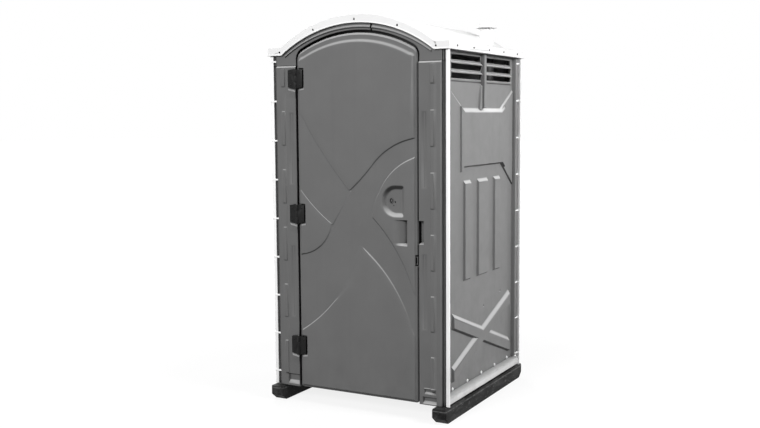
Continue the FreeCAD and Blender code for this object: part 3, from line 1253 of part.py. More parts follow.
def make_urinal():
    low_y, high_y = URINAL_Y
    outer = prism(urinal_profile(0, 0), "y", low_y, high_y)
    inner = prism(urinal_profile(URINAL_WALL, 3 * URINAL_WALL), "y", low_y + URINAL_WALL,
                  high_y - URINAL_WALL)
    x, y, z = drain_start()
    hole = rod((x, y, z - URINAL_WALL), (0, 0, 1), DRAIN_RADIUS - DRAIN_WALL, 3 * URINAL_WALL)
    return merged(outer.cut([inner, hole]))


def drain_start():
    return (WALL_INNER_X - URINAL_SUMP / 2, (URINAL_Y[0] + URINAL_Y[1]) / 2, URINAL_TOP_Z - URINAL_HEIGHT)


def drain_path():
    """Down from the bowl, round a bend and level into the front of the tank."""
    x, y, z = drain_start()
    low = z - DRAIN_DROP
    bend = DRAIN_BEND
    dip = bend * (1 - math.sqrt(0.5))
    edges = [Part.makeLine(V(x, y, z), V(x, y, low + bend)),
             Part.Arc(V(x, y, low + bend), V(x, y + dip, low + dip), V(x, y + bend, low)).toShape(),
             Part.makeLine(V(x, y + bend, low), V(x, TANK_FRONT_Y + TANK_SLOPE, low))]
    return Part.Wire(edges)


def make_drain():
    path = drain_path()
    x, y, z = drain_start()
    tubes = []
    for radius in (DRAIN_RADIUS, DRAIN_RADIUS - DRAIN_WALL):
        ring = Part.Wire([Part.makeCircle(radius, V(x, y, z), V(0, 0, 1))])
        tubes.append(path.makePipeShell([ring], True, True))
    return tubes[0].cut(tubes[1])


# Paper holder on the left wall, drawn on the right one

def paper_axis_x():
    return WALL_INNER_X - PAPER_REACH


def roll_starts():
    first = PAPER_Y - ROLL_WIDTH - ROLL_GAP / 2
    return (first, first + ROLL_WIDTH + ROLL_GAP)


def make_paper_bracket():
    """A wall plate with two arms that hold the spindle."""
    low = roll_starts()[0] - ROLL_GAP
    high = roll_starts()[1] + ROLL_WIDTH + ROLL_GAP
    plate = box((WALL_INNER_X - PAPER_PLATE, WALL_INNER_X), (low - PAPER_PLATE, high + PAPER_PLATE),
                (PAPER_Z - PAPER_PLATE_HALF, PAPER_Z + PAPER_PLATE_HALF))
    arms = []
    for y in (low - PAPER_PLATE, high):
        arms.append(box((paper_axis_x(), WALL_INNER_X), (y, y + PAPER_PLATE),
                        (PAPER_Z - PAPER_ARM_HALF, PAPER_Z + PAPER_ARM_HALF)))
        arms.append(rod((paper_axis_x(), y, PAPER_Z), (0, 1, 0), PAPER_ARM_HALF, PAPER_PLATE))
    hole = rod((paper_axis_x(), low - PAPER_PLATE - 1, PAPER_Z), (0, 1, 0), SPINDLE_NECK + CLEARANCE,
               high - low + 2 * PAPER_PLATE + 2)
    return joined([plate] + arms).cut(hole)


def make_paper_spindle():
    low = roll_starts()[0] - ROLL_GAP + CLEARANCE
    high = roll_starts()[1] + ROLL_WIDTH + ROLL_GAP - CLEARANCE
    barrel = rod((paper_axis_x(), low, PAPER_Z), (0, 1, 0), CORE_RADIUS, high - low)
    neck = rod((paper_axis_x(), low - PAPER_PLATE, PAPER_Z), (0, 1, 0), SPINDLE_NECK,
               high - low + 2 * PAPER_PLATE)
    return joined([barrel, neck])


def make_paper_roll(start):
    roll = rod((paper_axis_x(), start, PAPER_Z), (0, 1, 0), ROLL_RADIUS, ROLL_WIDTH)
    return roll.cut(rod((paper_axis_x(), start - 1, PAPER_Z), (0, 1, 0), CORE_RADIUS + CLEARANCE,
                        ROLL_WIDTH + 2))


# Hook and shelf

def make_coat_hook():
    """A plate with one upturned prong, inside the middle panel of the left wall."""
    wall = WALL_X - PANEL_DEPTH - SHEET
    y = SIDE_MIDDLE_Y + HOOK_OFFSET
    plate = box((wall - HOOK_PLATE, wall), (y - HOOK_WIDTH, y + HOOK_WIDTH),
                (HOOK_Z - HOOK_HEIGHT, HOOK_Z + HOOK_HEIGHT))
    shank = rod((wall - HOOK_REACH, y, HOOK_Z - HOOK_HEIGHT / 2), (1, 0, 0), HOOK_RADIUS, HOOK_REACH)
    elbow = Part.makeSphere(HOOK_RADIUS, V(wall - HOOK_REACH, y, HOOK_Z - HOOK_HEIGHT / 2))
    prong = rod((wall - HOOK_REACH, y, HOOK_Z - HOOK_HEIGHT / 2), (0, 0, 1), HOOK_RADIUS, HOOK_HEIGHT)
    ball = Part.makeSphere(HOOK_RADIUS * 1.3, V(wall - HOOK_REACH, y, HOOK_Z + HOOK_HEIGHT / 2))
    return mirrored(joined([plate, shank, elbow, prong, ball]))


def make_shelf():
    """A three-cornered shelf in the rear left corner, with a lip in front."""
    x = WALL_INNER_X - CLEARANCE
    y = REAR_Y - FIELD_DEPTH - SHEET - CLEARANCE
    size = SHELF_SIZE
    corner = [(x, y), (x - size, y), (x, y - size)]
    plate = prism(corner, "z", SHELF_Z, SHELF_Z + SHELF_THICKNESS)
    lip = prism([(x - size, y), (x - size - SHELF_THICKNESS, y), (x, y - size - SHELF_THICKNESS),
                 (x, y - size)],
                "z", SHELF_Z, SHELF_Z + SHELF_LIP)
    return mirrored(joined([plate, lip]))


# Clips on the corner strips

def clip_heights():
    """Lower and upper edge of each clip."""
    starts = [CLIP_FIRST_Z + i * CLIP_PITCH for i in range(CLIP_COUNT)]
    return [(z, z + CLIP_HEIGHT) for z in starts]


def make_front_clips():
    """Small bars that tie the front left strip to the jamb and, at the top, to the header."""
    clips = []
    face = FRONT_Y - STRIP_PROUD
    for z in clip_heights():
        behind = JAMB_EDGE_Y if z[1] < JAMB_TOP_Z else HEADER_FACE_Y
        over = box((STRIP_INNER_X, STRIP_INNER_X + STRIP_WIDTH), (face - CLIP_THICKNESS, face), z)
        inner = box((STRIP_INNER_X - CLIP_REACH, STRIP_INNER_X), (face - CLIP_THICKNESS, behind), z)
        clips.append(mirrored(joined([over, inner])))
    return group(clips)


def make_rear_clips():
    """The same on the rear right strip, reaching over the side wall."""
    clips = []
    for z in clip_heights():
        tongue = box((WALL_X, WALL_X + CLIP_THICKNESS), (SIDE_REAR_Y - 2 * CLIP_REACH, SIDE_REAR_Y), z)
        hook = box((WALL_X, STRIP_INNER_X + STRIP_WIDTH), (SIDE_REAR_Y - CLIP_THICKNESS, SIDE_REAR_Y), z)
        clips.append(joined([tongue, hook]))
    return group(clips)


# Write every piece

save("skid_left", make_skid(-1))
save("skid_right", make_skid(1))
save("floor_pan", make_floor_pan())
right_wall = make_side_panel()
save("side_panel_right", right_wall)
save("side_panel_left", mirrored(right_wall))
save("rear_panel", make_rear_panel())
save("jamb_left", make_jamb(-1))
save("jamb_right", make_jamb(1))
save("header", make_header())
for strip_side, side_name in ((-1, "left"), (1, "right")):
    save("corner_strip_front_" + side_name, make_corner_strip(strip_side, True))
    save("corner_strip_rear_" + side_name, make_corner_strip(strip_side, False))
save("strip_clips_front", make_front_clips())
save("strip_clips_rear", make_rear_clips())
save("roof", make_roof())
save("roof_screws", make_roof_screws())
save("base_screws", make_base_screws())
save("vent_pipe", make_vent_pipe())
save("vent_cap", make_vent_cap())
save("door_outer_skin", make_door_skin())
save("door_liner", make_door_liner())
save("door_pull_inside", make_door_pull())
save("padlock_staple", make_staple())
for place, height in HINGE_CENTRES_Z.items():
    leaf_on_frame, leaf_on_door, hinge_pin = make_hinge(height)
    save("hinge_" + place + "_frame_leaf", leaf_on_frame)
    save("hinge_" + place + "_door_leaf", leaf_on_door)
    save("hinge_" + place + "_pin", hinge_pin)
save("lock_dial", make_dial())
save("lock_spindle", make_spindle())
save("lock_pinion", make_pinion())
save("lock_knob", make_knob())
save("lock_bolt", make_bolt())
save("bolt_guides", group(make_bolt_guides()))
save("lock_keeper", make_keeper())
save("holding_tank", make_tank())
save("seat", make_seat())
save("seat_lid", make_lid())
save("seat_brackets", group(make_seat_brackets()))
save("seat_hinge_pins", group(make_seat_pins()))
save("urinal", make_urinal())
save("urinal_drain", make_drain())
save("paper_bracket", mirrored(make_paper_bracket()))
save("paper_spindle", mirrored(make_paper_spindle()))
for roll_name, roll_start in zip(("paper_roll_front", "paper_roll_rear"), roll_starts()):
    save(roll_name, mirrored(make_paper_roll(roll_start)))
save("coat_hook", make_coat_hook())
save("corner_shelf", make_shelf())
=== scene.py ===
import json
import math

import bpy
import bmesh
import numpy as np
from mathutils import Matrix, Vector
from mathutils.geometry import delaunay_2d_cdt


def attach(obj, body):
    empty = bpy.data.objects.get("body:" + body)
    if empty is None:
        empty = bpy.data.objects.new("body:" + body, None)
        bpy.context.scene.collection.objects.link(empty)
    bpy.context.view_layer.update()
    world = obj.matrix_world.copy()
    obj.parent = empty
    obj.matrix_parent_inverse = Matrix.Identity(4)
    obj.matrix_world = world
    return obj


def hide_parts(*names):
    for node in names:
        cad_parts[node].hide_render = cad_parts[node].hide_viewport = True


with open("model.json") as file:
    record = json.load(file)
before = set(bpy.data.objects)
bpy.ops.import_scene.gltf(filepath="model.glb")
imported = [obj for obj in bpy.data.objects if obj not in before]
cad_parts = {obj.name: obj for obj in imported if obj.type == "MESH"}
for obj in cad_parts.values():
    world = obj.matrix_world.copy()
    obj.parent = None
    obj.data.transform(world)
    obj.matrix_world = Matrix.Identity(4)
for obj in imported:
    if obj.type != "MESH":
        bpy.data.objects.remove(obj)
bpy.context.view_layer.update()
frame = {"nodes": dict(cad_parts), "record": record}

MM = 0.001

# Camera, fitted to the photograph's corners

CAMERA_PLACE = Vector((2.8344, -5.4631, 1.7154))
CAMERA_YAW = math.radians(28.61)
CAMERA_PITCH = math.radians(5.60)
CAMERA_ROLL = math.radians(-0.42)
CAMERA_LENS = 46.67


def make_camera():
    forward = Vector((-math.sin(CAMERA_YAW) * math.cos(CAMERA_PITCH),
                      math.cos(CAMERA_YAW) * math.cos(CAMERA_PITCH), -math.sin(CAMERA_PITCH)))
    level = Vector((math.cos(CAMERA_YAW), math.sin(CAMERA_YAW), 0))
    upright = level.cross(forward)
    right = level * math.cos(CAMERA_ROLL) + upright * math.sin(CAMERA_ROLL)
    up = upright * math.cos(CAMERA_ROLL) - level * math.sin(CAMERA_ROLL)
    data = bpy.data.cameras.new("camera")
    data.lens = CAMERA_LENS
    data.sensor_width = 36.0
    data.clip_end = 100.0
    camera = put("camera", data)
    turn = Matrix((right, up, -forward)).transposed().to_4x4()
    camera.matrix_world = Matrix.Translation(CAMERA_PLACE) @ turn
    bpy.context.scene.camera = camera


def put(name, data):
    thing = bpy.data.objects.new(name, data)
    bpy.context.collection.objects.link(thing)
    return thing


# Node helpers

materials = {}


def connect(tree, value, socket):
    """Link a socket to another, or set it to a plain value."""
    if isinstance(value, bpy.types.NodeSocket):
        tree.links.new(value, socket)
    elif socket.type == "RGBA":
        socket.default_value = (*value, 1.0)
    else:
        socket.default_value = value


def add_node(tree, kind, **inputs):
    """A shader node with its inputs by name, where _ stands for a space."""
    node = tree.nodes.new("ShaderNode" + kind)
    for name, value in inputs.items():
        connect(tree, value, node.inputs[name.replace("_", " ")])
    return node


def new_material(name):
    material = materials[name] = bpy.data.materials.new(name)
    material.use_nodes = True
    tree = material.node_tree
    tree.nodes.clear()
    shader = add_node(tree, "BsdfPrincipled")
    add_node(tree, "OutputMaterial", Surface=shader.outputs["BSDF"])
    return tree, shader


def own(tree, output="Object"):
    """Coordinates (Object) or direction (Normal) of the surface, on the part's own axes."""
    return add_node(tree, "TexCoord").outputs[output]


def upright(tree, output="Object"):
    """Height above the ground, or with Normal the upward part of the surface's direction."""
    return add_node(tree, "SeparateXYZ", Vector=own(tree, output)).outputs["Z"]


def noise(tree, scale, detail, stretch=(1, 1, 1), roughness=0.5):
    """Noise on the part's own coordinates, in lumps per metre."""
    place = add_node(tree, "Mapping", Vector=own(tree), Scale=stretch).outputs["Vector"]
    lumps = add_node(tree, "TexNoise", Vector=place, Scale=scale, Detail=detail, Roughness=roughness)
    return lumps.outputs["Fac"]


def spread(tree, value, low, high, out_low, out_high):
    """Map a value from one range to another, clamped."""
    ends = {"From_Min": low, "From_Max": high, "To_Min": out_low, "To_Max": out_high}
    return add_node(tree, "MapRange", Value=value, **ends).outputs["Result"]


def maths(tree, operation, a, b):
    node = add_node(tree, "Math")
    node.operation = operation
    for socket, value in zip(node.inputs, (a, b)):
        connect(tree, value, socket)
    return node.outputs["Value"]


def mixed(tree, amount, a, b):
    """Colour a where amount is 0, colour b where it is 1; each is a socket or an RGB value."""
    node = add_node(tree, "Mix")
    node.data_type = "RGBA"
    node.clamp_factor = True
    tree.links.new(amount, node.inputs["Factor"])
    for socket, value in zip([s for s in node.inputs if s.type == "RGBA"], (a, b)):
        connect(tree, value, socket)
    return [s for s in node.outputs if s.type == "RGBA"][0]


def bump(tree, shader, height, strength, distance):
    node = add_node(tree, "Bump", Height=height, Strength=strength, Distance=distance)
    tree.links.new(node.outputs["Normal"], shader.inputs["Normal"])


def openness(tree):
    """1 on an open surface, towards 0 deep in a recess."""
    node = add_node(tree, "AmbientOcclusion", Distance=RECESS_REACH)
    node.samples = 6
    return node.outputs["AO"]


def grey(value):
    return (value, value, value)


def shade(colour, factor):
    return tuple(min(1.0, c * factor) for c in colour)


# Materials: ranges of upward direction, openness and height, with the tones they lead to: painted light on
# what looks up and on the upper parts, painted shade on what looks down and in recesses

UP_FACING_LIT, UP_FACING_LIGHT_TONE = (0.20, 0.60), 3.1
DOWN_FACING_SHADED, DOWN_FACING_SHADE_TONE = (-0.55, -0.15), 0.24
RECESSED, RECESS_REACH, RECESS_SHADE_TONE = (0.24, 0.70), 0.035, 0.07
TOP_LIGHT_HEIGHTS = (0.3, 2.0)


def surface(tree, shader, tone, roughness, gloss=None):
    tree.links.new(tone, shader.inputs["Base Color"])
    connect(tree, roughness, shader.inputs["Roughness"])
    if gloss is not None:
        shader.inputs["Specular IOR Level"].default_value = gloss


def moulded(name, colour, roughness=0.5, mottle=0.06, soil=0.0, pebble=0.12, streaks=0.0, gloss=0.18,
            painted_light_and_shade=0.0, painted_top_light=0.0):
    """Moulded plastic: cloudy tone, faint vertical streaks, soil near the ground, a fine pebble.

    Painted light lightens what looks up, painted shade darkens what looks down or lies deep, and painted
    light makes the upper parts lighter.
    """
    tree, shader = new_material(name)
    clouds = spread(tree, noise(tree, 5.0, 4.0), 0.3, 0.7, 0, 1)
    tone = mixed(tree, clouds, shade(colour, 1 - mottle), shade(colour, 1 + mottle))
    layers = []
    # Painted light: the part grows lighter towards the top.
    if painted_top_light:
        layers.append((spread(tree, upright(tree), *TOP_LIGHT_HEIGHTS, 0, painted_top_light), 1.8))
    if streaks:
        layers.append((spread(tree, noise(tree, 1.0, 3.0, (26, 26, 0.8)), 0.56, 0.75, 0, streaks), 0.72))
    if soil:
        low = spread(tree, upright(tree), 0.10, 0.55, 1, 0)
        patches = spread(tree, noise(tree, 9.0, 6.0, (1, 1, 0.6), 0.6), 0.42, 0.75, 0, 1)
        layers.append((maths(tree, "MULTIPLY", maths(tree, "MULTIPLY", low, patches), soil), 0.55))
    # Painted light on what faces up, painted shade on what faces down and in recesses.
    if painted_light_and_shade:
        rise = upright(tree, "Normal")
        layers += [(spread(tree, rise, *UP_FACING_LIT, 0, painted_light_and_shade), UP_FACING_LIGHT_TONE),
                   (spread(tree, rise, *DOWN_FACING_SHADED, painted_light_and_shade, 0), DOWN_FACING_SHADE_TONE),
                   (spread(tree, openness(tree), *RECESSED, painted_light_and_shade, 0), RECESS_SHADE_TONE)]
    for amount, factor in layers:
        tone = mixed(tree, amount, tone, shade(colour, factor))
    worn = spread(tree, noise(tree, 14.0, 4.0), 0.3, 0.7, roughness - 0.06, roughness + 0.08)
    surface(tree, shader, tone, worn, gloss)
    bump(tree, shader, noise(tree, 420.0, 2.0), pebble, 0.0006)


def scuffed_black(name, colour):
    """Black recycled plastic: cloudy grey scuffs, grain along the length, pits, and a lighter band at the
    upper edge that is rubbed wear and painted highlight.
    """
    tree, shader = new_material(name)
    clouds = spread(tree, noise(tree, 13.0, 5.0, (1, 0.5, 1.5), 0.6), 0.42, 0.72, 0, 1)
    tone = mixed(tree, clouds, colour, shade(colour, 14.0))
    specks = spread(tree, noise(tree, 70.0, 4.0, (1, 0.4, 1.2), 0.6), 0.60, 0.70, 0, 0.7)
    tone = mixed(tree, specks, tone, shade(colour, 30.0))
    # A lighter band under the upper bevel: rubbed wear and a painted highlight.
    height = upright(tree)
    above, below = spread(tree, height, 0.0700, 0.0745, 0, 1), spread(tree, height, 0.0765, 0.0800, 1, 0)
    worn = maths(tree, "MULTIPLY", above, below)
    patches = spread(tree, noise(tree, 30.0, 3.0), 0.35, 0.6, 0.15, 0.8)
    tone = mixed(tree, maths(tree, "MULTIPLY", worn, patches), tone, shade(colour, 32.0))
    surface(tree, shader, tone, spread(tree, clouds, 0, 1, 0.62, 0.85), 0.12)
    bump(tree, shader, noise(tree, 160.0, 5.0, (1, 0.4, 1.2)), 0.5, 0.002)


def tint(name, colour, low, high, out_low, out_high):
    """Mix a colour into a material by height above the ground."""
    tree = materials[name].node_tree
    shader = next(n for n in tree.nodes if n.type == "BSDF_PRINCIPLED")
    clean = shader.inputs["Base Color"].links[0].from_socket
    amount = spread(tree, upright(tree), low, high, out_low, out_high)
    tree.links.new(mixed(tree, amount, clean, colour), shader.inputs["Base Color"])


def white_shaded_at_wall(name, colour):
    """White plastic, greyer along its upper edge as painted shade where it meets the wall, and soiled in
    patches low down.
    """
    moulded(name, colour, 0.5, 0.05, 0.5)
    # Painted shade along the upper edge, below the wall.
    tint(name, shade(colour, 0.3), 0.124, 0.152, 0, 0.85)


def vent_white_shaded_inside(name, colour):
    """Weathered white above the roof, and near black below it, as painted shade inside the cabin."""
    moulded(name, colour, 0.45, 0.03)
    # Painted shade: dark below the roof.
    tint(name, shade(colour, 0.06), 2.09, 2.13, 1, 0)


def metal(name, colour, roughness):
    tree, shader = new_material(name)
    shader.inputs["Metallic"].default_value = 1.0
    clouds = spread(tree, noise(tree, 60.0, 4.0), 0.3, 0.7, 0, 1)
    tone = mixed(tree, clouds, shade(colour, 0.85), shade(colour, 1.1))
    surface(tree, shader, tone, spread(tree, clouds, 0, 1, roughness - 0.08, roughness + 0.1))
    bump(tree, shader, noise(tree, 900.0, 2.0, (1, 1, 0.1)), 0.08, 0.0003)


def tissue(name, colour):
    """Soft paper with an embossed dot pattern."""
    tree, shader = new_material(name)
    dots = add_node(tree, "TexVoronoi", Scale=140.0, Vector=own(tree))
    clouds = spread(tree, noise(tree, 90.0, 3.0), 0.3, 0.7, 0, 1)
    surface(tree, shader, mixed(tree, clouds, shade(colour, 0.94), colour), 0.95)
    bump(tree, shader, dots.outputs["Distance"], 0.35, 0.001)


def make_materials():
    # wall_grey is set lighter than door_grey and frame_grey, though they are the same plastic: painted light
    # for the brighter walls.
    moulded("wall_grey", grey(0.175), 0.42, 0.05, 0.35, streaks=0.12, painted_light_and_shade=1.0, painted_top_light=0.3)
    moulded("frame_grey", grey(0.128), 0.46, 0.05, 0.35, painted_light_and_shade=1.0)
    moulded("door_grey", grey(0.134), 0.44, 0.04, 0.3, streaks=0.10, painted_light_and_shade=1.0)
    moulded("liner_grey", (0.36, 0.36, 0.355), 0.5, 0.04, 0.2)
    white_shaded_at_wall("base_white", grey(0.72))
    moulded("roof_white", grey(0.79), 0.4, 0.02)
    moulded("trim_white", grey(0.93), 0.45, 0.03, 0.25)
    scuffed_black("skid_black", grey(0.004))
    moulded("hinge_black", grey(0.006), 0.42, 0.4, gloss=0.15)
    metal("steel", grey(0.12), 0.4)
    moulded("lock_black", grey(0.016), 0.35, 0.2)
    moulded("dial_light", grey(0.12), 0.35, 0.1)
    moulded("tank_grey", grey(0.045), 0.5, 0.15)
    moulded("seat_black", grey(0.014), 0.25, 0.2, pebble=0.03)
    moulded("urinal_grey", grey(0.42), 0.3, 0.04, pebble=0.04)
    vent_white_shaded_inside("vent_grey", grey(0.78))
    tissue("paper_white", grey(0.86))


slot_of = {s["node"]: s["material_slot"] for s in frame["record"]["subparts"]}
body_of = {node: body for body, nodes in frame["record"]["behaviour"]["bodies"].items() for node in nodes}


def dress(mesh, slot):
    mesh.materials.clear()
    mesh.materials.append(materials[slot])


def dress_cad_nodes():
    for node, thing in frame["nodes"].items():
        dress(thing.data, slot_of[node])


def add_piece(name, mesh, node, slot=None, replaces=True):
    """Link a piece that stands for a node, or goes with it, dressed and riding as that node does."""
    piece = put(name, mesh)
    slot = slot or slot_of[node]
    dress(mesh, slot)
    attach(piece, body_of[node])
    if replaces:
        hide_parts(node)
    return piece


def smooth(mesh, sharp_degrees=35):
    mesh.polygons.foreach_set("use_smooth", [True] * len(mesh.polygons))
    mesh.set_sharp_from_angle(angle=math.radians(sharp_degrees))


def mesh_of(name, bm):
    mesh = bpy.data.meshes.new(name)
    bm.to_mesh(mesh)
    bm.free()
    return mesh


def eased(node, width, clamp=False, segments=3):
    """The node's own form with every hard edge rounded, as it comes out of a mould."""
    source = frame["nodes"][node]
    bm = bmesh.new()
    bm.from_mesh(source.data)
    bm.transform(source.matrix_world)
    bmesh.ops.remove_doubles(bm, verts=bm.verts, dist=0.02 * MM)
    bmesh.ops.dissolve_limit(bm, angle_limit=math.radians(0.4), verts=bm.verts, edges=bm.edges)
    piece = add_piece(node + "_moulded", mesh_of(node + "_eased", bm), node)
    rounding = piece.modifiers.new("rounding", "BEVEL")
    rounding.width = width * MM
    rounding.segments = segments
    rounding.limit_method = "ANGLE"
    rounding.angle_limit = math.radians(28)
    rounding.use_clamp_overlap = clamp
    rounding.miter_outer = "MITER_ARC"
    smooth(apply_modifiers(piece))
    return piece


def apply_modifiers(piece):
    graph = bpy.context.evaluated_depsgraph_get()
    made = bpy.data.meshes.new_from_object(piece.evaluated_get(graph))
    piece.modifiers.clear()
    old = piece.data
    piece.data = made
    bpy.data.meshes.remove(old)
    return made


# Flat outlines, in millimetres

VIA = "via"


def arc_points(a, m, b, step):
    """Points on the arc from a through m to b, without b."""
    (ax, ay), (mx, my), (bx, by) = a, m, b
    d = 2 * (ax * (my - by) + mx * (by - ay) + bx * (ay - my))
    a2, m2, b2 = ax * ax + ay * ay, mx * mx + my * my, bx * bx + by * by
    cx = (a2 * (my - by) + m2 * (by - ay) + b2 * (ay - my)) / d
    cy = (a2 * (bx - mx) + m2 * (ax - bx) + b2 * (mx - ax)) / d
    radius = math.hypot(ax - cx, ay - cy)
    start = math.atan2(ay - cy, ax - cx)
    middle, sweep = [(math.atan2(y - cy, x - cx) - start) % (2 * math.pi) for x, y in (m, b)]
    if middle > sweep:
        sweep -= 2 * math.pi
    n = max(2, int(abs(sweep) * radius / step))
    turns = [start + sweep * i / n for i in range(n)]
    return [(cx + radius * math.cos(t), cy + radius * math.sin(t)) for t in turns]


def chain(corners, step=9.0):
    """A closed outline from its corners; one marked VIA is the middle of the arc between its neighbours."""
    points = []
    for i, corner in enumerate(corners):
        after, far = [corners[(i + k) % len(corners)] for k in (1, 2)]
        if VIA in after:
            points += arc_points(corner, after[:2], far, step)
        elif VIA not in corner:
            points.append(corner)
    return np.array(points, float)


def circle(centre, radius, count=24):
    turns = np.linspace(0, 2 * math.pi, count, endpoint=False)
    return np.array([(centre[0] + radius * math.cos(t), centre[1] + radius * math.sin(t)) for t in turns])


def rectangle(u, v):
    return chain([(u[0], v[0]), (u[1], v[0]), (u[1], v[1]), (u[0], v[1])])


def area(outline):
    x, y = outline.T
    return 0.5 * np.sum(x * np.roll(y, -1) - np.roll(x, -1) * y)


def inward(outline):
    """The inward normal of each side of an outline that runs against the clock."""
    run = np.roll(outline, -1, axis=0) - outline
    run = run / np.linalg.norm(run, axis=1, keepdims=True)
    return np.stack([-run[:, 1], run[:, 0]], axis=1)


def inset(outline, distance):
    """The outline moved inwards by one distance, or by one for each side."""
    if area(outline) < 0:
        outline = outline[::-1]
    after = inward(outline)
    before = np.roll(after, 1, axis=0)
    gap_after = np.broadcast_to(distance, len(outline)).astype(float)[:, None]
    gap_before = np.roll(gap_after, 1, axis=0)
    meet = np.sum(after * before, axis=1, keepdims=True)
    spread_out = np.maximum(1 - meet ** 2, 0.17)
    along = (gap_before - meet * gap_after) / spread_out
    across = (gap_after - meet * gap_before) / spread_out
    corner = outline + before * along + after * across
    straight = outline + (before * gap_before + after * gap_after) / (1 + meet)
    return np.where(meet > 0.9, straight, corner)


def inside(points, outline):
    x, y = points[:, :1], points[:, 1:]
    ax, ay = outline.T
    bx, by = np.roll(outline, -1, axis=0).T
    flat = np.where(by == ay, 1e-9, by - ay)
    crossed = ((ay > y) != (by > y)) & (x < (bx - ax) * (y - ay) / flat + ax)
    return crossed.sum(axis=1) % 2 == 1


def depth_in(points, outline, widths=1.0):
    """Distance to the outline, positive inside it, as a share of each side's width."""
    a = outline
    run = np.roll(outline, -1, axis=0) - a
    length2 = np.maximum(np.sum(run * run, axis=1), 1e-9)
    best = np.full(len(points), 1e9)
    for start in range(0, len(points), 4000):
        p = points[start:start + 4000, None, :]
        t = np.clip(np.sum((p - a) * run, axis=2) / length2, 0, 1)
        gap = p - a - t[:, :, None] * run
        best[start:start + 4000] = np.min(np.sqrt(np.sum(gap * gap, axis=2)) / widths, axis=1)
    return np.where(inside(points, outline), best, -best)


def slope(d, width, ease):
    """0 outside, 1 inside, along a straight slope with both of its corners rounded."""
    def total(x):
        return np.where(x < 0, 0, np.where(x < width, x * x / (2 * width), x - width / 2))
    return (total(d + ease) - total(d - ease)) / (2 * ease)


class Step:
    """A raised or sunk shape: its outline, its slope's width and the rounding at the slope's foot and head.

    The width is one value, or three: for the sides that look up, sideways and down.
    """

    def __init__(self, outline, width, ease=2.5, crown=0.0, share=0.0, soften=None):
        self.outline = outline if area(outline) > 0 else outline[::-1]
        up, side, down = width if isinstance(width, tuple) else (width, width, width)
        lean = -inward(self.outline)[:, 1]
        self.widths = side + np.where(lean > 0, (up - side) * lean, (side - down) * lean)
        self.ease = ease / np.mean(self.widths)
        if soften:
            self.widths = self.widths * soften((self.outline + np.roll(self.outline, -1, axis=0)) / 2)
        self.crown = crown
        self.share = share

    def height(self, points):
        rise = slope(depth_in(points, self.outline, self.widths), 1.0, self.ease)
        if self.crown:
            t = np.clip(depth_in(points, self.outline) / self.crown, 0, 1)
            rise = (1 - self.share) * rise + self.share * (1 - (1 - t) ** 2)
        return rise

    def rows(self):
        e = self.ease
        places = (-1.4 * e, -e, -e / 3, e / 3, e, 1 - e, 1 - e / 3, 1 + e / 3, 1 + e, 1 + 1.4 * e)
        loops = [inset(self.outline, k * self.widths) for k in sorted(places)]
        if self.crown:
            loops += [inset(self.outline, self.crown * k) for k in (0.35, 0.55, 0.75, 1.0)]
        return loops


def rounding(points, outline, radius):
    """How far a surface falls away near its rounded border."""
    d = np.clip(depth_in(points, outline), 0, radius)
    return radius - np.sqrt(np.maximum(radius ** 2 - (radius - d) ** 2, 0))


def rim_rows(outline, radius):
    return [inset(outline, radius * k) for k in (0.05, 0.2, 0.45, 0.75, 1.0, 1.25)]


def on_front(p, w):
    return np.stack([p[:, 0], -w, p[:, 1]], axis=1)


def on_rear(p, w):
    return np.stack([-p[:, 0], w, p[:, 1]], axis=1)


def on_right(p, w):
    return np.stack([w, p[:, 0], p[:, 1]], axis=1)


def highest(shapes, p):
    return np.max([shape.height(p) for shape in shapes], axis=0)


def mirror_x(mesh):
    mesh.transform(Matrix.Scale(-1, 4, (1, 0, 0)))
    mesh.flip_normals()


MERGE = 0.02
RELIEF_SHARP = 38


def relief_mesh(name, outline, rows, front, back, place, holes=()):
    """A closed sheet: the outline pushed out to front(points) and back(points), with holes right through.

    The rows are loops of points that the mesh follows, or shapes that bring their own.
    """
    points, edges, loops = [], [], [outline, *holes]
    for row in rows:
        loops += row.rows() if hasattr(row, "rows") else [row]
    for loop in loops:
        first = len(points)
        points += [Vector(q) for q in loop]
        edges += [(first + i, first + (i + 1) % len(loop)) for i in range(len(loop))]
    flat, _, faces = delaunay_2d_cdt(points, edges, [], 0, MERGE)[:3]
    flat = np.array([tuple(q) for q in flat])
    faces = np.array([f for f in faces if len(f) == 3])
    centres = flat[faces].mean(axis=1)
    keep = inside(centres, outline)
    for hole in holes:
        keep &= ~inside(centres, hole)
    used, faces = np.unique(faces[keep], return_inverse=True)
    flat, faces = flat[used], faces.reshape(-1, 3).tolist()
    known = {(f[i], f[i - 2]) for f in faces for i in range(3)}
    border = [(a, b) for a, b in known if (b, a) not in known]
    n = len(flat)
    verts = np.concatenate([place(flat, front(flat)), place(flat, back(flat))]) * MM
    polygons = [*faces, *[(c + n, b + n, a + n) for a, b, c in faces]]
    polygons += [(a, a + n, b + n, b) for a, b in sorted(border)]
    mesh = bpy.data.meshes.new(name)
    mesh.from_pydata(verts.tolist(), [], polygons)
    bm = bmesh.new()
    bm.from_mesh(mesh)
    bmesh.ops.recalc_face_normals(bm, faces=bm.faces)
    bm.to_mesh(mesh)
    bm.free()
    smooth(mesh, RELIEF_SHARP)
    return mesh


def soft_box(x, y, z, radius, segments=3):
    """A block with rounded edges, as a bmesh, in millimetres."""
    bm = bmesh.new()
    bmesh.ops.create_cube(bm, size=1)
    size = Vector((x[1] - x[0], y[1] - y[0], z[1] - z[0])) * MM
    middle = Vector((x[0] + x[1], y[0] + y[1], z[0] + z[1])) * MM / 2
    bm.transform(Matrix.Translation(middle) @ Matrix.Diagonal(size).to_4x4())
    bmesh.ops.bevel(bm, geom=bm.edges[:], offset=radius * MM, segments=segments, affect="EDGES", profile=0.5)
    return bm


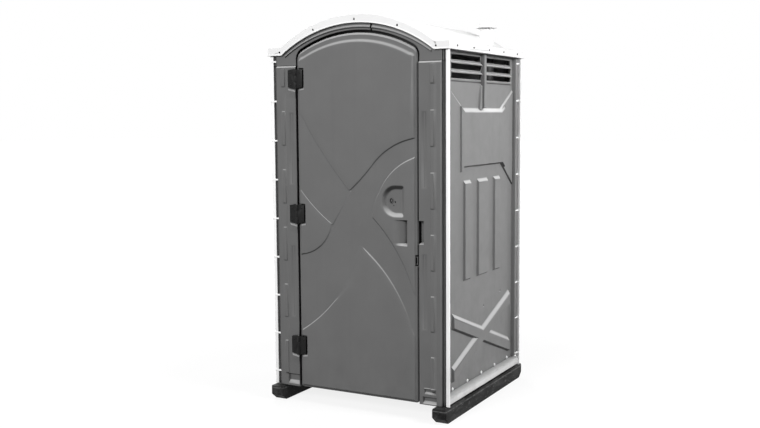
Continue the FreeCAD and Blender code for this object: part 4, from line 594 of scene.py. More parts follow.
def add_to(mesh, extra):
    """Put another closed form, a mesh or a bmesh, into a mesh."""
    if isinstance(extra, bmesh.types.BMesh):
        extra = mesh_of("extra", extra)
    whole = bmesh.new()
    whole.from_mesh(mesh)
    whole.from_mesh(extra)
    bpy.data.meshes.remove(extra)
    whole.to_mesh(mesh)
    whole.free()
    smooth(mesh)


BOLT_WAY = ((-532.4, -523.6), (1206.1, 1226.9))


def let_bolt_through(mesh, x):
    """The mesh with the bolt's window cut through it between two values of x."""
    way = mesh_of("way", soft_box(x, *BOLT_WAY, 0.2, 1))
    holder, cutter = put("holder", mesh), put("cutter", way)
    window = holder.modifiers.new("window", "BOOLEAN")
    window.operation = "DIFFERENCE"
    window.solver = "EXACT"
    window.object = cutter
    cut = apply_modifiers(holder)
    for thing in (holder, cutter):
        bpy.data.objects.remove(thing)
    bpy.data.meshes.remove(way)
    smooth(cut, RELIEF_SHARP)
    return cut


# Walls

SHEET = 5.0
WALL_X = 572.0
SIDE_MIDDLE = 7.65
SIDE_HALF = 542.2
REAR_HALF = 540.7
SIDE_BORDER_FOOT = 152.3
BORDER = 52.0
WALL_FOOT = 113.0
WALL_HEAD = 2123.5
EAVES = 2083.0
FIELD, STRIP, PANEL, RIB, BRACE = -26.0, -17.0, -6.0, -12.0, -8.0
LEDGE = (24.0, 6.0, 8.0)
DIMPLES, DIMPLE_DEPTH = ((37, 566), (306, 618)), 3.0
WALL_ROUND, DOOR_ROUND, FRAME_ROUND = 7.0, 2.0, 3.0


def strip_outline(half):
    """The middle of a wall, wider and taller towards its sides."""
    up = 97.0 / 168.0
    down = 105.0 / 141.0
    top = 1765 + up * (half - 283)
    low = 1425 - down * (half - 294)
    return chain([(-half, low), (-294, 1425), (294, 1425), (half, low),
                  (half, top), (283, 1765), (-283, 1765), (-half, top)])


def brace_outline(direction):
    rise = 0.355 * 439
    left, right = 402 - direction * rise, 402 + direction * rise
    return chain([(-439, left - 47), (439, right - 47), (439, right + 47), (-439, left + 47)])


def wall_features(half, louvred):
    """Steps of a wall with the level that each one reaches; a louvred wall has a brace too."""
    features = [(Step(strip_outline(half - BORDER), (12, 4, 6)), STRIP),
                (Step(strip_outline(339), LEDGE, 3.0), PANEL)]
    for centre, width in ((-227, 96), (0, 150), (227, 96)):
        outline = rectangle((centre - width / 2, centre + width / 2), (765, 1350))
        features.append((Step(outline, (20, 5, 9), 2.5), RIB))
    if louvred:
        features += [(Step(brace_outline(d), LEDGE, 3.0), BRACE) for d in (-1, 1)]
        features.append((Step(rectangle((-20, 20), (1765, WALL_HEAD + 40)), 4.0, 1.5), -2.0))
        gusset = chain([(-62, 1752), (-18, 1752), (-18, 1905), (-30, 1905), (-48, 1850)])
        features.append((Step(gusset, (12, 4, 4), 1.5), RIB))
        for bay in louvre_bays():
            features.append((Step(rectangle(bay, (SILL - 20, SILL)), (2, 3, 8), 1.2), FIELD + 5))
    return features


NOSES = (2070.0, 2018.0, 1966.0)
SLOT = 30.0
BLADE_RISE = 17.0
LIP_RISE, LIP_FOOT = 8.0, -25.0
SILL = NOSES[2] - SHEET - SLOT
BAY = (20.0, 462.0)


def louvre_bays():
    return [tuple(sorted((side * BAY[0], side * BAY[1]))) for side in (-1, 1)]


def louvre_height(points):
    """Outward level of the steep blades with their flared lips, or the field's level away from them."""
    u, v = points.T
    level = np.full(len(points), FIELD)
    in_bay = (np.abs(u) > BAY[0] - 0.1) & (np.abs(u) < BAY[1] + 0.1)
    for nose in NOSES[1:]:
        up = v - nose
        lip = RIB + (LIP_FOOT - RIB) * np.clip(up / LIP_RISE, 0, 1)
        face = LIP_FOOT + (FIELD - LIP_FOOT) * np.clip((up - LIP_RISE) / (BLADE_RISE - LIP_RISE), 0, 1)
        blade = np.where(up < LIP_RISE, lip, face)
        ends = np.clip((BAY[1] - np.abs(u)) / 12.0, 0, 1)
        on = in_bay & (up > -SHEET - 0.1) & (up < BLADE_RISE + 0.1)
        level = np.where(on, np.maximum(level, FIELD + (blade - FIELD) * ends), level)
    return level


def wall_mesh(name, half, border_foot, louvred, place, face):
    outline = rectangle((-half, half), (WALL_FOOT, WALL_HEAD))
    features = wall_features(half, louvred)
    far, top = half + 30, WALL_HEAD + 30
    borders = [rectangle(sorted((s * far, s * (half - BORDER))), (border_foot, top)) for s in (-1, 1)]
    borders.append(rectangle((-far, far), (EAVES - 6, top)))
    edge_steps = [Step(b, (6, 5, 6), 2.0) for b in borders]
    dimples = [Step(circle(spot, 8, 20), 4.0, 1.0) for spot in DIMPLES] if louvred else []
    rows = rim_rows(outline, WALL_ROUND) + [f for f, _ in features] + edge_steps + dimples
    holes = []
    if louvred:
        for bay in louvre_bays():
            for nose in NOSES:
                u = (bay[0] + SHEET, bay[1] - SHEET)
                holes.append(rectangle(u, (nose - SHEET - SLOT, nose - SHEET)))
            for nose in NOSES[1:]:
                for low, high in ((-SHEET, 0), (1.2, 2.6), (4.5, 6.5), (LIP_RISE, BLADE_RISE)):
                    rows.append(rectangle(bay, (nose + low, nose + high)))
                rows.append(rectangle((bay[0] + 12, bay[1] - 12), (nose - SHEET, nose + BLADE_RISE)))

    def front(p):
        level = louvre_height(p) if louvred else np.full(len(p), FIELD)
        for step, top in features:
            level = np.maximum(level, FIELD + (top - FIELD) * step.height(p))
        for step in edge_steps:
            level = np.maximum(level, FIELD * (1 - step.height(p)))
        for step in dimples:
            level -= DIMPLE_DEPTH * step.height(p)
        return face + level - rounding(p, outline, WALL_ROUND)

    rows += [inset(outline, SHEET), inset(outline, SHEET + 0.3)]
    edge = inset(outline, SHEET + 0.15)

    def back(p):
        return np.where(inside(p, edge), front(p) - SHEET, face + FIELD - SHEET)

    return relief_mesh(name, outline, rows, front, back, place, holes)


def make_walls():
    def on_side(p, w):
        return on_right(p + (SIDE_MIDDLE, 0), w)

    for side in ("left", "right"):
        mesh = wall_mesh("side_wall_" + side, SIDE_HALF, SIDE_BORDER_FOOT, True, on_side, WALL_X)
        if side == "left":
            mirror_x(mesh)
        add_piece("side_wall_" + side, mesh, "side_panel_" + side)


REAR_FACE = 556.0


def make_rear_wall():
    """The rear wall with its arched head under the roof."""
    mesh = wall_mesh("rear_wall", REAR_HALF, WALL_FOOT, False, on_rear, REAR_FACE)
    gable = chain([(-REAR_HALF, WALL_HEAD - 6), (REAR_HALF, WALL_HEAD - 6), (REAR_HALF, WALL_HEAD - 1),
                   *roof_arc(5.5), (-REAR_HALF, WALL_HEAD - 1)])
    head = Step(inset(gable, 60.0), 14.0, 3.0)

    def front(p):
        return REAR_FACE - 1.0 - 7.0 * head.height(p) - rounding(p, gable, 2.0)

    rows = [head, *rim_rows(gable, 2.0)]
    add_to(mesh, relief_mesh("gable", gable, rows, front, lambda p: front(p) - SHEET, on_rear))
    add_piece("rear_wall", mesh, "rear_panel")


class Basin:
    """A rectangle raised or sunk, with one width for all its slopes or one each: left, right, low, high."""

    def __init__(self, u, v, widths, ease=2.0):
        self.u, self.v, self.ease = u, v, ease
        self.widths = widths if isinstance(widths, tuple) else (widths,) * 4

    def height(self, points):
        x, y = points.T
        gaps = (x - self.u[0], self.u[1] - x, y - self.v[0], self.v[1] - y)
        return np.min([slope(g, w, self.ease) for g, w in zip(gaps, self.widths)], axis=0)

    def rows(self):
        e = self.ease
        sides = [(-e - 1, -e, -e / 3, e / 3, w - e / 3, w + e / 3, w + e, w + e + 1) for w in self.widths]
        return [rectangle((self.u[0] + left, self.u[1] - right), (self.v[0] + low, self.v[1] - high))
                for left, right, low, high in zip(*sides)]


# Door

DOOR_HALF = 397.0
DOOR_FOOT = 93.0
DOOR_TOP = 2196.0
ARCH_RADIUS = 770.0
RIM, CHANNEL, FACE = 551.0, 554.5, 561.0
UPPER_SHARE = 0.44
PULL_DEPTH = 13.5
DOOR_CHAMFER, CHAMFER_DEPTH = (12.0, 7.0, 6.0), 8.0
RIM_TOP, RIM_SIDE, RIM_FOOT = 36.0, 12.0, 9.0
DOOR_BACK = 515.0
LINER_RELIEF = 10.0
HINGES = {"top": 1944.0, "middle": 1145.0, "bottom": 349.0}
HINGE_HALF = 58.0
AXIS_X, AXIS_Y = -400.5, -566.0
DIAL = (225.0, 1245.0)
DIAL_FACE = -544.3
DISH_FACE = -540.0
NOTCH_FACE = 535.0
PULL_RAMP = (246.0, 304.0, 318.0)


def door_outline(grow):
    """The door's border moved outwards, from its lower left corner on."""
    half = DOOR_HALF + grow
    foot = DOOR_FOOT - grow
    radius = ARCH_RADIUS + grow
    centre = DOOR_TOP - ARCH_RADIUS
    corner = 60 + grow
    heel = max(16 + grow, 1.0)
    cx = half - corner
    cz = centre + math.sqrt((radius - corner) ** 2 - cx ** 2)
    angle = math.atan2(cz - centre, cx)
    quarter = math.pi / 2

    def on_corner(side, t):
        return (side * (cx + corner * math.cos(t)), cz + corner * math.sin(t))

    def on_heel(side, t):
        return (side * (half - heel + heel * math.cos(t)), foot + heel + heel * math.sin(t))

    def bend(place, side, start, end, fine):
        return arc_points(place(side, start), place(side, (start + end) / 2), place(side, end), fine)

    step, coarse, fine = 9.0, 6.0, min(9.0, max(heel / 4, 0.5))
    points = [on_heel(-1, -quarter)] + bend(on_heel, 1, -quarter, 0, fine) + [on_heel(1, 0)]
    points += bend(on_corner, 1, 0, angle, coarse)
    points += arc_points(on_corner(1, angle), (0, centre + radius), on_corner(-1, angle), step)
    points += bend(on_corner, -1, angle, 0, coarse) + [on_corner(-1, 0)]
    points += bend(on_heel, -1, 0, -quarter, fine)
    return np.array(points, float)


def door_fields():
    """The raised fields between the door's crossing channels, carried on past the panel's border."""
    top = [(-440, 2400), (-440, 1843), (-361, 1720), (-245, 1540, VIA), (-42, 1290), (20, 1345, VIA),
           (110, 1440), (210, 1530, VIA), (361, 1592), (440, 1612), (440, 2400)]
    left = [(-440, 1370), (-361, 1280), (-290, 1205, VIA), (-160, 1100), (-215, 985, VIA), (-361, 905),
            (-440, 882)]
    right = [(440, 1522), (361, 1487), (235, 1410, VIA), (150, 1290), (118, 1220, VIA), (105, 1145),
             (260, 960, VIA), (361, 750), (440, 580)]
    bottom = [(-440, 0), (-440, 410), (-361, 460), (-190, 600, VIA), (-40, 800), (35, 975), (225, 788, VIA),
              (361, 520), (440, 352), (440, 0)]
    return [chain(corners) for corners in (top, left, right, bottom)]


def fading_side(middles):
    """The lower field's left edge melts into the channel towards its tip."""
    u, v = middles.T
    return np.where(u < 33, 1 + 8 * np.clip((v - 640) / 200, 0, 1), 1.0)


def crisp_side(middles):
    """The upper field's lower left edge is lower and crisper than the others."""
    u, v = middles.T
    return np.where((u < -42) & (v < 1850), 0.6, 1.0)


def upper_channel():
    return chain([(-440, 1843), (-361, 1720), (-245, 1540, VIA), (-42, 1290), (-160, 1100), (-290, 1205, VIA),
                  (-361, 1280), (-440, 1370)])


def dish_outline():
    r, right, corner = 88.0, 314.0, 14.0
    x, z = 258.0, 1243.0
    dip = corner * (1 - math.sqrt(0.5))
    return chain([(x, z + r), (x - r, z, VIA), (x, z - r), (right - corner, z - r),
                  (right - dip, z - r + dip, VIA), (right, z - r + corner), (right, z + r - corner),
                  (right - dip, z + r - dip, VIA), (right - corner, z + r)], 6.0)


def vertical_rows(places, low=0.0, high=2400.0):
    return [rectangle(place, (low, high)) for place in places]


def hinge_seat(z):
    """The sunk place of a hinge leaf in the door, its sill sloping down to the hinge's axis."""
    low, high = z - HINGE_HALF, z + HINGE_HALF
    outline = chain([(-470, low - 21), (-344, low - 6), (-344, high + 4), (-470, high + 8)])
    return Step(outline, (5, 5, 14), 2.0)


def hinge_ledge(z):
    """The ledge on the jamb under a hinge leaf, as it runs on the right-hand side."""
    low = z - HINGE_HALF
    outline = chain([(396, low - 8), (396, low - 60), (456, low - 44), (456, low + 3)])
    return Step(outline, (11, 8, 38), 2.0)


def panel_outline():
    """The door's raised middle: its rim is broad under the arch and narrow down the sides."""
    outline = door_outline(0)
    rise = inward(outline)[:, 1]
    rim = RIM_SIDE + (RIM_TOP - RIM_SIDE) * np.clip(-rise, 0, 1) + (RIM_FOOT - RIM_SIDE) * np.clip(rise, 0, 1)
    return inset(outline, rim)


def make_door_skin():
    outline = door_outline(0)
    panel = Step(panel_outline(), (17.0, 9.0, 9.0), 5.0)
    softer = (crisp_side, None, None, fading_side)
    fields = [Step(f, 6.0, 2.4, 46.0, 0.34, side) for f, side in zip(door_fields(), softer)]
    upper = Step(inset(upper_channel(), -9.0), 4.0, 1.6)
    dish = Step(dish_outline(), 19.0, 5.5)
    pull = Basin((230, 334), (992, 1138), (1, 4, 13, 7), 1.5)
    seats = [hinge_seat(z) for z in HINGES.values()]
    notch = Basin((381, 460), (880, 944), 1.5, 0.6)
    border = Step(outline, DOOR_CHAMFER, 1.5)
    ramp_start, ramp_end, drop_end = PULL_RAMP
    rows = [*rim_rows(outline, DOOR_ROUND), border, door_outline(-5.0), door_outline(-5.3),
            panel, *fields, upper, dish, pull, *seats, notch]
    rows += vertical_rows([(ramp_start, ramp_end), (ramp_end, drop_end)], 980, 1150)

    def front(p):
        raised = np.maximum(highest(fields, p), UPPER_SHARE * upper.height(p))
        level = RIM + panel.height(p) * (CHANNEL - RIM + (FACE - CHANNEL) * raised)
        inside_dish = dish.height(p)
        level = level * (1 - inside_dish) - DISH_FACE * inside_dish
        slant = np.clip((p[:, 0] - ramp_start) / (ramp_end - ramp_start), 0, 1)
        drop = np.clip((p[:, 0] - ramp_end) / (drop_end - ramp_end), 0, 1)
        level -= PULL_DEPTH * (slant + drop) * pull.height(p)
        for seat in seats:
            level += (RIM - level) * seat.height(p)
        level += (NOTCH_FACE - level) * notch.height(p)
        return level - CHAMFER_DEPTH * (1 - border.height(p)) - rounding(p, outline, DOOR_ROUND)

    wall = door_outline(-5.15)

    def back(p):
        sheet = np.maximum(np.minimum(front(p) - SHEET, RIM - SHEET), DOOR_BACK)
        return np.where(inside(p, wall), sheet, DOOR_BACK)

    mesh = relief_mesh("door_shell", outline, rows, front, back, on_front, [circle(DIAL, 6.1)])
    add_piece("door_shell", let_bolt_through(mesh, (389.0, 399.0)), "door_outer_skin")


def make_door_liner():
    outline = door_outline(-5.4)
    panels = [Basin((-325, 325), z, 14, 4.0) for z in ((180, 940), (1400, 2040))]

    def inner(p):
        return -DOOR_BACK - LINER_RELIEF * highest(panels, p)

    mesh = relief_mesh("door_inner_shell", outline, rim_rows(outline, DOOR_ROUND) + panels, inner,
                       lambda p: inner(p) - SHEET, lambda p, w: on_front(p, -w), [circle(DIAL, 6.2)])
    add_piece("door_inner_shell", mesh, "door_liner")


# Jambs and header

JAMB_FACE, JAMB_EDGE, JAMB_BACK = 556.0, 541.0, 504.0
JAMB_IN, JAMB_OUT = 404.0, 566.0
JAMB_FOOT, JAMB_TOP = 91.0, 2022.0
STOP_FRONT = 509.0
STOP_IN = 382.0
COLUMN = (474.0, 514.0)
COLUMN_TOP = 2020.0
FRAME_SHEET = 6.0
SHOULDER = 9.0
SHOULDER_ROWS = (1.5, 3.0, 5.0, 7.0, 8.5, 10.0, 11.5, 13.0, 15.0, 20.0)
FLANGE_ROWS = (536, 538, 539.3, 540.7, 544.3, 545.7, 547, 549)
SHOULDER_END = 543.0
FLANGE_START, FLANGE_BACK = 545.0, 535.0
INNER_WALL, OUTER_WALL = 410.0, (534.7, 540.7)
COLUMN_RISE = 3.5
SLOT_DEPTH = 4.5


def pad_heights():
    upper = [COLUMN_TOP] + [1757.0 - 346.0 * i for i in range(5)]
    return [(z - (123.0 if z > 2000 else 206.0), z) for z in upper]


GROOVES = (548.0, 558.5)
GROOVE_HALF = 3.8
GROOVE_DEPTH = 7.0


def groove_depth(p):
    """Fine grooves down the flange beside the corner strip."""
    away = np.min([np.abs(np.abs(p[:, 0]) - g) for g in GROOVES], axis=0)
    return GROOVE_DEPTH * np.clip(1.4 * (1 - away / GROOVE_HALF), 0, 1)


def groove_rows():
    places = [g + k * GROOVE_HALF for g in GROOVES for k in (-1, -0.3, 0.3, 1)]
    return vertical_rows([(side * x, side * x + 700 * side) for side in (-1, 1) for x in places])


def make_jamb(side):
    outline = rectangle((JAMB_IN, JAMB_OUT), (JAMB_FOOT, JAMB_TOP))
    pads = pad_heights()
    column = Basin(COLUMN, (pads[-1][0] - 8, COLUMN_TOP), (6, 15, 10, 15), 2.0)
    raised = [Basin(COLUMN, z, (6, 15, 6, 14 if z[1] > 2000 else 6), 1.5) for z in pads]
    slots = [Basin((420, 456), z, (13, 13, 8, 8)) for z in ((1318, 1750), (517, 955))]
    if side > 0:
        name, shoulder_drop, ledge_rise = "right", 8.0, 3.0
        pockets = [(Basin((437, 509), (154, 183), (3, 4, 11, 3), 1.2), 9.0),
                   (Basin((425, 512), (98, 138), (6, 6, 13, 4), 1.5), 15.0),
                   (Basin((380, 435), (1006, 1138), (1, 13, 8, 3), 1.0), 32.0)]
        ledges = [Basin((433, 512), (181, 192), (3, 3, 3, 6), 1.2)]
    else:
        name, shoulder_drop, ledge_rise = "left", 9.0, 5.5
        pockets = [(Basin((406, 486), (104, 165), (4, 5, 20, 4), 1.5), 15.0)]
        ledges = [hinge_ledge(z) for z in HINGES.values()]
    rows = rim_rows(outline, FRAME_ROUND) + groove_rows()
    rows += [rectangle((0, 700), (JAMB_TOP - z, 2400)) for z in SHOULDER_ROWS]
    rows += [column, *raised, *slots, *ledges, *[b for b, _ in pockets]]
    rows += vertical_rows([(409.9, 410.1), (534.6, 534.8), (540.6, 540.8)])
    rows += vertical_rows([(x, 700) for x in FLANGE_ROWS])

    def front(p):
        level = JAMB_EDGE + (JAMB_FACE - JAMB_EDGE) * slope(FLANGE_START - p[:, 0], 5.0, 2.0)
        level += COLUMN_RISE * column.height(p)
        level += COLUMN_RISE * highest(raised, p)
        level -= SLOT_DEPTH * highest(slots, p)
        shoulder = slope(p[:, 1] - JAMB_TOP + SHOULDER, SHOULDER, 1.5) * (p[:, 0] < SHOULDER_END)
        level -= shoulder_drop * shoulder
        for basin, deep in pockets:
            level -= deep * basin.height(p)
        level += ledge_rise * highest(ledges, p)
        return level - rounding(p, outline, FRAME_ROUND) - groove_depth(p)

    def back(p):
        x = p[:, 0]
        sheet = np.minimum(front(p), JAMB_FACE) - FRAME_SHEET
        sheet = np.where(x > OUTER_WALL[1], FLANGE_BACK, sheet)
        walls = (x < INNER_WALL) | ((x > OUTER_WALL[0]) & (x < OUTER_WALL[1]))
        return np.where(walls, JAMB_BACK, sheet)

    mesh = relief_mesh("jamb", outline, rows, front, back, on_front)
    if side > 0:
        mesh = let_bolt_through(mesh, (402.0, 411.5))
    add_to(mesh, soft_box((STOP_IN, JAMB_IN + 0.5), (-STOP_FRONT, -JAMB_BACK), (JAMB_FOOT, JAMB_TOP), 1.2))
    if side < 0:
        mirror_x(mesh)
    add_piece("jamb_post_" + name, mesh, "jamb_" + name)


def roof_arc(drop):
    """The arch of the roof's upper outline, moved down, from right to left."""
    ear = 2129.0 - drop
    return arc_points((500, ear), (0, ear + 168), (-500, ear), 12.0) + [(-500, ear)]


BEAD_DROP = (59.0, 75.0)
BEAD_HALF, BEAD_RISE = 490.0, 7.5
HEADER_FACE, SEAM_DEPTH = 546.0, 14.0
GAP_TOP, GAP_SIDE = 15.0, 8.0


def arch_gap(more=0.0):
    """The header's opening: a wider gap over the door's arch than beside it."""
    outline = door_outline(0)
    over = np.clip(-inward(outline)[:, 1], 0, 1)
    return inset(outline, -(GAP_SIDE + (GAP_TOP - GAP_SIDE) * over + more))


def make_header():
    low, top, far = JAMB_TOP, WALL_HEAD, JAMB_OUT
    over = [q for q in arch_gap().tolist() if q[1] > low + 1]
    outer = [(JAMB_IN, low), (far, low), (far, top), *roof_arc(5.5), (-far, top), (-far, low)]
    outline = chain(outer + [(-JAMB_IN, low)] + over[::-1])
    edges = roof_arc(BEAD_DROP[0]) + roof_arc(BEAD_DROP[1])[::-1]
    bead = Step(chain([q for q in edges if abs(q[0]) < BEAD_HALF]), (8.0, 3.0, 3.0), 1.2)
    seam = Basin((99.0, 109.0), (2180, 2268), 1, 0.6)
    rows = [bead, seam] + [inset(outline, d) for d in (0.2, 0.8, 1.8, 3.0, 4.5)]
    rows += [arch_gap(5.4), arch_gap(5.6)] + groove_rows()

    def front(p):
        level = HEADER_FACE + BEAD_RISE * bead.height(p) - SEAM_DEPTH * seam.height(p)
        return level - groove_depth(p) - rounding(p, outline, FRAME_ROUND)

    def back(p):
        return np.where(inside(p, arch_gap(5.5)), JAMB_BACK, front(p) - FRAME_SHEET)

    mesh = relief_mesh("header_arch", outline, rows, front, back, on_front)
    inner, outer = [[q for q in edge.tolist() if q[1] > low] for edge in (door_outline(-15.0), arch_gap(0.5))]
    lip = [(405.5, low)] + outer + [(-405.5, low), (-STOP_IN, low)] + inner[::-1] + [(STOP_IN, low)]
    add_to(mesh, relief_mesh("header_stop", chain(lip), [], lambda p: np.full(len(p), STOP_FRONT),
                             lambda p: np.full(len(p), JAMB_BACK), on_front))
    add_piece("header_arch", mesh, "header")


# Nodes that keep their own form, with the width of their rounded edges

EASED = {
    "floor_pan": 3.0, "corner_strip_front_left": 2.5, "corner_strip_front_right": 2.5,
    "corner_strip_rear_left": 2.5, "corner_strip_rear_right": 2.5, "strip_clips_front": 0.7,
    "strip_clips_rear": 0.7, "roof": 3.0,
}
SMALL = {
    "vent_pipe": 1.5, "vent_cap": 1.5, "door_pull_inside": 2.5, "padlock_staple": 0.8, "lock_spindle": 0.4,
    "lock_pinion": 0.4, "lock_knob": 1.5, "lock_bolt": 0.8, "bolt_guides": 0.8, "lock_keeper": 0.8,
    "holding_tank": 8.0, "seat_brackets": 1.5, "seat_hinge_pins": 0.5, "urinal": 4.0, "urinal_drain": 0.8,
    "paper_bracket": 1.5, "paper_spindle": 1.0, "paper_roll_front": 1.5, "paper_roll_rear": 1.5,
    "coat_hook": 1.5, "corner_shelf": 2.5, **{"hinge_" + name + "_pin": 0.5 for name in HINGES},
}
CURB_EDGE = 0.550
CURB_FOOT = 0.100
CURB_LIFT = 0.008
FASCIA_INSET = 3.5
ROOF_X, ROOF_FRONT, ROOF_REAR = 597.0, -562.0, 580.0
ROOF_SKIRT = 46.0
ROOF_ARCH = 828.0
LIP_HEIGHT = 9.0


def make_eased():
    for node, width in EASED.items():
        eased(node, width)
    for node, width in SMALL.items():
        eased(node, width, True, 2)
    for vertex in bpy.data.objects["floor_pan_moulded"].data.vertices:
        if abs(vertex.co.x) > CURB_EDGE and vertex.co.z < CURB_FOOT:
            vertex.co.z += CURB_LIFT
    inset_by = FASCIA_INSET * MM
    for vertex in bpy.data.objects["roof_moulded"].data.vertices:
        x, y = vertex.co.x, vertex.co.y
        vertex.co.x = math.copysign(min(abs(x), ROOF_X * MM - inset_by), x)
        vertex.co.y = min(max(y, ROOF_FRONT * MM + inset_by), ROOF_REAR * MM - inset_by)


# Roof lip, runners and small fasteners


def make_roof_lip():
    """The flared bead along the lower edge of the roof's skirt."""
    low, top = roof_arc(ROOF_SKIRT), EAVES + LIP_HEIGHT
    foot = [(ROOF_X, EAVES)] + low + [(-ROOF_X, EAVES)]
    head = [(-ROOF_X, top)] + [(x, z + LIP_HEIGHT) for x, z in low[::-1]] + [(ROOF_X, top)]
    band = chain(foot + head)
    bead = Step(band, (7, 1, 2), 0.8)

    def at(place, face):
        return relief_mesh("lip", band, [bead], lambda p: face - FASCIA_INSET * (1 - bead.height(p)),
                           lambda p: np.full(len(p), face - FASCIA_INSET - 3), place)

    mesh = at(on_front, -ROOF_FRONT)
    add_to(mesh, at(on_rear, ROOF_REAR))
    for side in (-1, 1):
        x = sorted((side * (ROOF_X - FASCIA_INSET - 3), side * ROOF_X))
        add_to(mesh, soft_box(x, (ROOF_FRONT, ROOF_REAR), (EAVES, top), 3.0))
    add_piece("roof_lip", mesh, "roof")


RUNNER_X = (499.5, 588.5)
RUNNER_HALF = 597.5
RUNNER_TOP = 88.0
NOSE = (44.0, 34.0)
WORN_EDGE = 11.0


def make_runners():
    """The skids: blocks of recycled plastic with bevelled upper edges and chamfered toes."""
    long, tall = NOSE
    toe = RUNNER_HALF - long
    outline = chain([(-toe, 0), (toe, 0), (RUNNER_HALF, tall), (RUNNER_HALF, RUNNER_TOP),
                     (-RUNNER_HALF, RUNNER_TOP), (-RUNNER_HALF, tall)])
    edge = Step(outline, (WORN_EDGE, 7, 5), 2.0)
    middle = sum(RUNNER_X) / 2
    half = (RUNNER_X[1] - RUNNER_X[0]) / 2

    def level(p):
        return half - 7.0 * (1 - edge.height(p))

    for side in ("left", "right"):
        mesh = relief_mesh("runner", outline, [edge], lambda p: middle + level(p),
                           lambda p: middle - level(p), on_right)
        if side == "left":
            mirror_x(mesh)
        add_piece("runner_" + side, mesh, "skid_" + side)


def turned(centre, axis, profile, segments=20):
    """A closed loop of (radius, height) pairs turned about an axis, as a bmesh in metres."""
    bm = bmesh.new()
    aim = Vector(axis).to_track_quat("Z", "Y").to_matrix()
    turns = [2 * math.pi * i / segments for i in range(segments)]
    rings = [[bm.verts.new((Vector(centre) + aim @ Vector((r * math.cos(a), r * math.sin(a), h))) * MM)
              for a in turns] for r, h in profile]
    for lower, upper in zip(rings, rings[1:] + rings[:1]):
        for i in range(segments):
            j = (i + 1) % segments
            bm.faces.new((lower[i], lower[j], upper[j], upper[i]))
    bmesh.ops.recalc_face_normals(bm, faces=bm.faces)
    return bm


def joined(name, forms):
    mesh = bpy.data.meshes.new(name)
    for form in forms:
        add_to(mesh, form)
    return mesh


def pan_head(radius, height):
    """A screw's shank, domed head and drive hole, from shares of its radius and height."""
    head = ((0.35, 0), (1, 0), (0.98, 0.35), (0.8, 0.8), (0.5, 1), (0.3, 1), (0.25, 0.55))
    return [(radius * 0.35, -4.0)] + [(radius * r, height * h) for r, h in head]


def make_fasteners():
    """Domed heads in place of the plain ones, at the middles of the nodes' own solids."""
    for node, radius, height in (("roof_screws", 5.5, 3.0), ("base_screws", 9.5, 6.0)):
        heads = [turned(centre, axis, pan_head(radius, height)) for centre, axis in screw_places(node)]
        add_piece(node + "_domed", joined(node, heads), node)


def screw_places(node):
    """Where each screw's head sits and which way it looks."""
    along = [(side, i) for side in (-1, 1) for i in range(-2, 3)]
    if node == "base_screws":
        return [((side * 546, SIDE_MIDDLE + 212 * i, 161), (side, 0, 0)) for side, i in along]
    places = []
    for face, out in ((ROOF_FRONT + FASCIA_INSET, -1), (ROOF_REAR - FASCIA_INSET, 1)):
        for x, z in ((-512, 2103), (-275, None), (0, None), (275, None), (512, 2103)):
            drop = ROOF_ARCH - math.sqrt(ROOF_ARCH ** 2 - x * x)
            places.append(((x, face, z or EAVES + 168 - drop + 20), (0, out, 0)))
    out = ROOF_X - FASCIA_INSET
    return places + [((side * out, SIDE_MIDDLE + 230 * i, 2106), (side, 0, 0)) for side, i in along]


HINGE_SCREW_X = 34.0
HINGE_SCREW_Z = 36.0


def make_hinges():
    """The leaves and knuckles with rounded edges, two screws to each leaf."""
    for name, z in HINGES.items():
        for leaf, side in (("frame_leaf", -1), ("door_leaf", 1)):
            node = "hinge_" + name + "_" + leaf
            piece = eased(node, 1.8)
            for dz in (-HINGE_SCREW_Z, HINGE_SCREW_Z):
                centre = (AXIS_X + side * HINGE_SCREW_X, AXIS_Y - 2.0, z + dz)
                add_to(piece.data, turned(centre, (0, -1, 0), pan_head(6.0, 2.2)))


GRIP_NARROW = 0.66


def make_lock_face():
    """The dial with a dark oval grip on it, and two screws in the dish beside it."""
    x, z = DIAL
    centre = (x, DIAL_FACE, z)
    rim = [(8.0, 0.8), (9.0, 0.0), (14.0, 0.0), (15.0, 1.0), (15.0, 3.0), (13.0, 4.0)]
    add_piece("dial_disc", joined("dial", [turned(centre, (0, 1, 0), rim, 32)]), "lock_dial")
    grip = [(7.5, -1.5), (7.5, 1.0), (9.0, 1.8), (13.0, 1.8), (14.5, 0.6), (14.5, -1.5)]
    grip = turned((0, 0, 0), (0, -1, 0), grip, 28)
    grip.transform(Matrix.Translation(Vector(centre) * MM) @ Matrix.Diagonal((GRIP_NARROW, 1, 1, 1)))
    add_piece("dial_keyway", joined("keyway", [grip]), "lock_dial", "lock_black", replaces=False)
    screws = [turned((x + dx, DISH_FACE, z + dz), (0, -1, 0), pan_head(radius, 1.8), 14)
              for dx, dz, radius in ((24, -7, 5.0), (14, -27, 3.2))]
    add_piece("dish_screws", joined("plate_screws", screws), "door_outer_skin", "lock_black", replaces=False)


# Seat and lid

SEAT_MIDDLE = 240.0
SEAT_PLAN = (400.0, 370.0)
SEAT_HOLE = (270.0, 210.0)
SEAT_HEIGHTS = (564.3, 584.3)
SEAT_AXIS = (466.0, 582.0)
SEAT_EYES = (71.0, 83.0)
LID_HEIGHTS = (585.8, 597.8)
LID_EYES = (84.0, 96.0)
LID_BACK = -95.0
EYE_RADII = (5.2, 10.0)
SEAT_CROWN, LID_CROWN = 9.0, 5.0


def seat_oval(plan):
    length, width = plan
    r, s = width / 2, (length - width) / 2
    low, high = SEAT_MIDDLE - s, SEAT_MIDDLE + s
    return chain([(r, low), (r, high), (0, high + r, VIA), (-r, high), (-r, low), (0, low - r, VIA)], 8.0)


def on_top(p, w):
    return np.stack([p[:, 0], p[:, 1], w], axis=1)


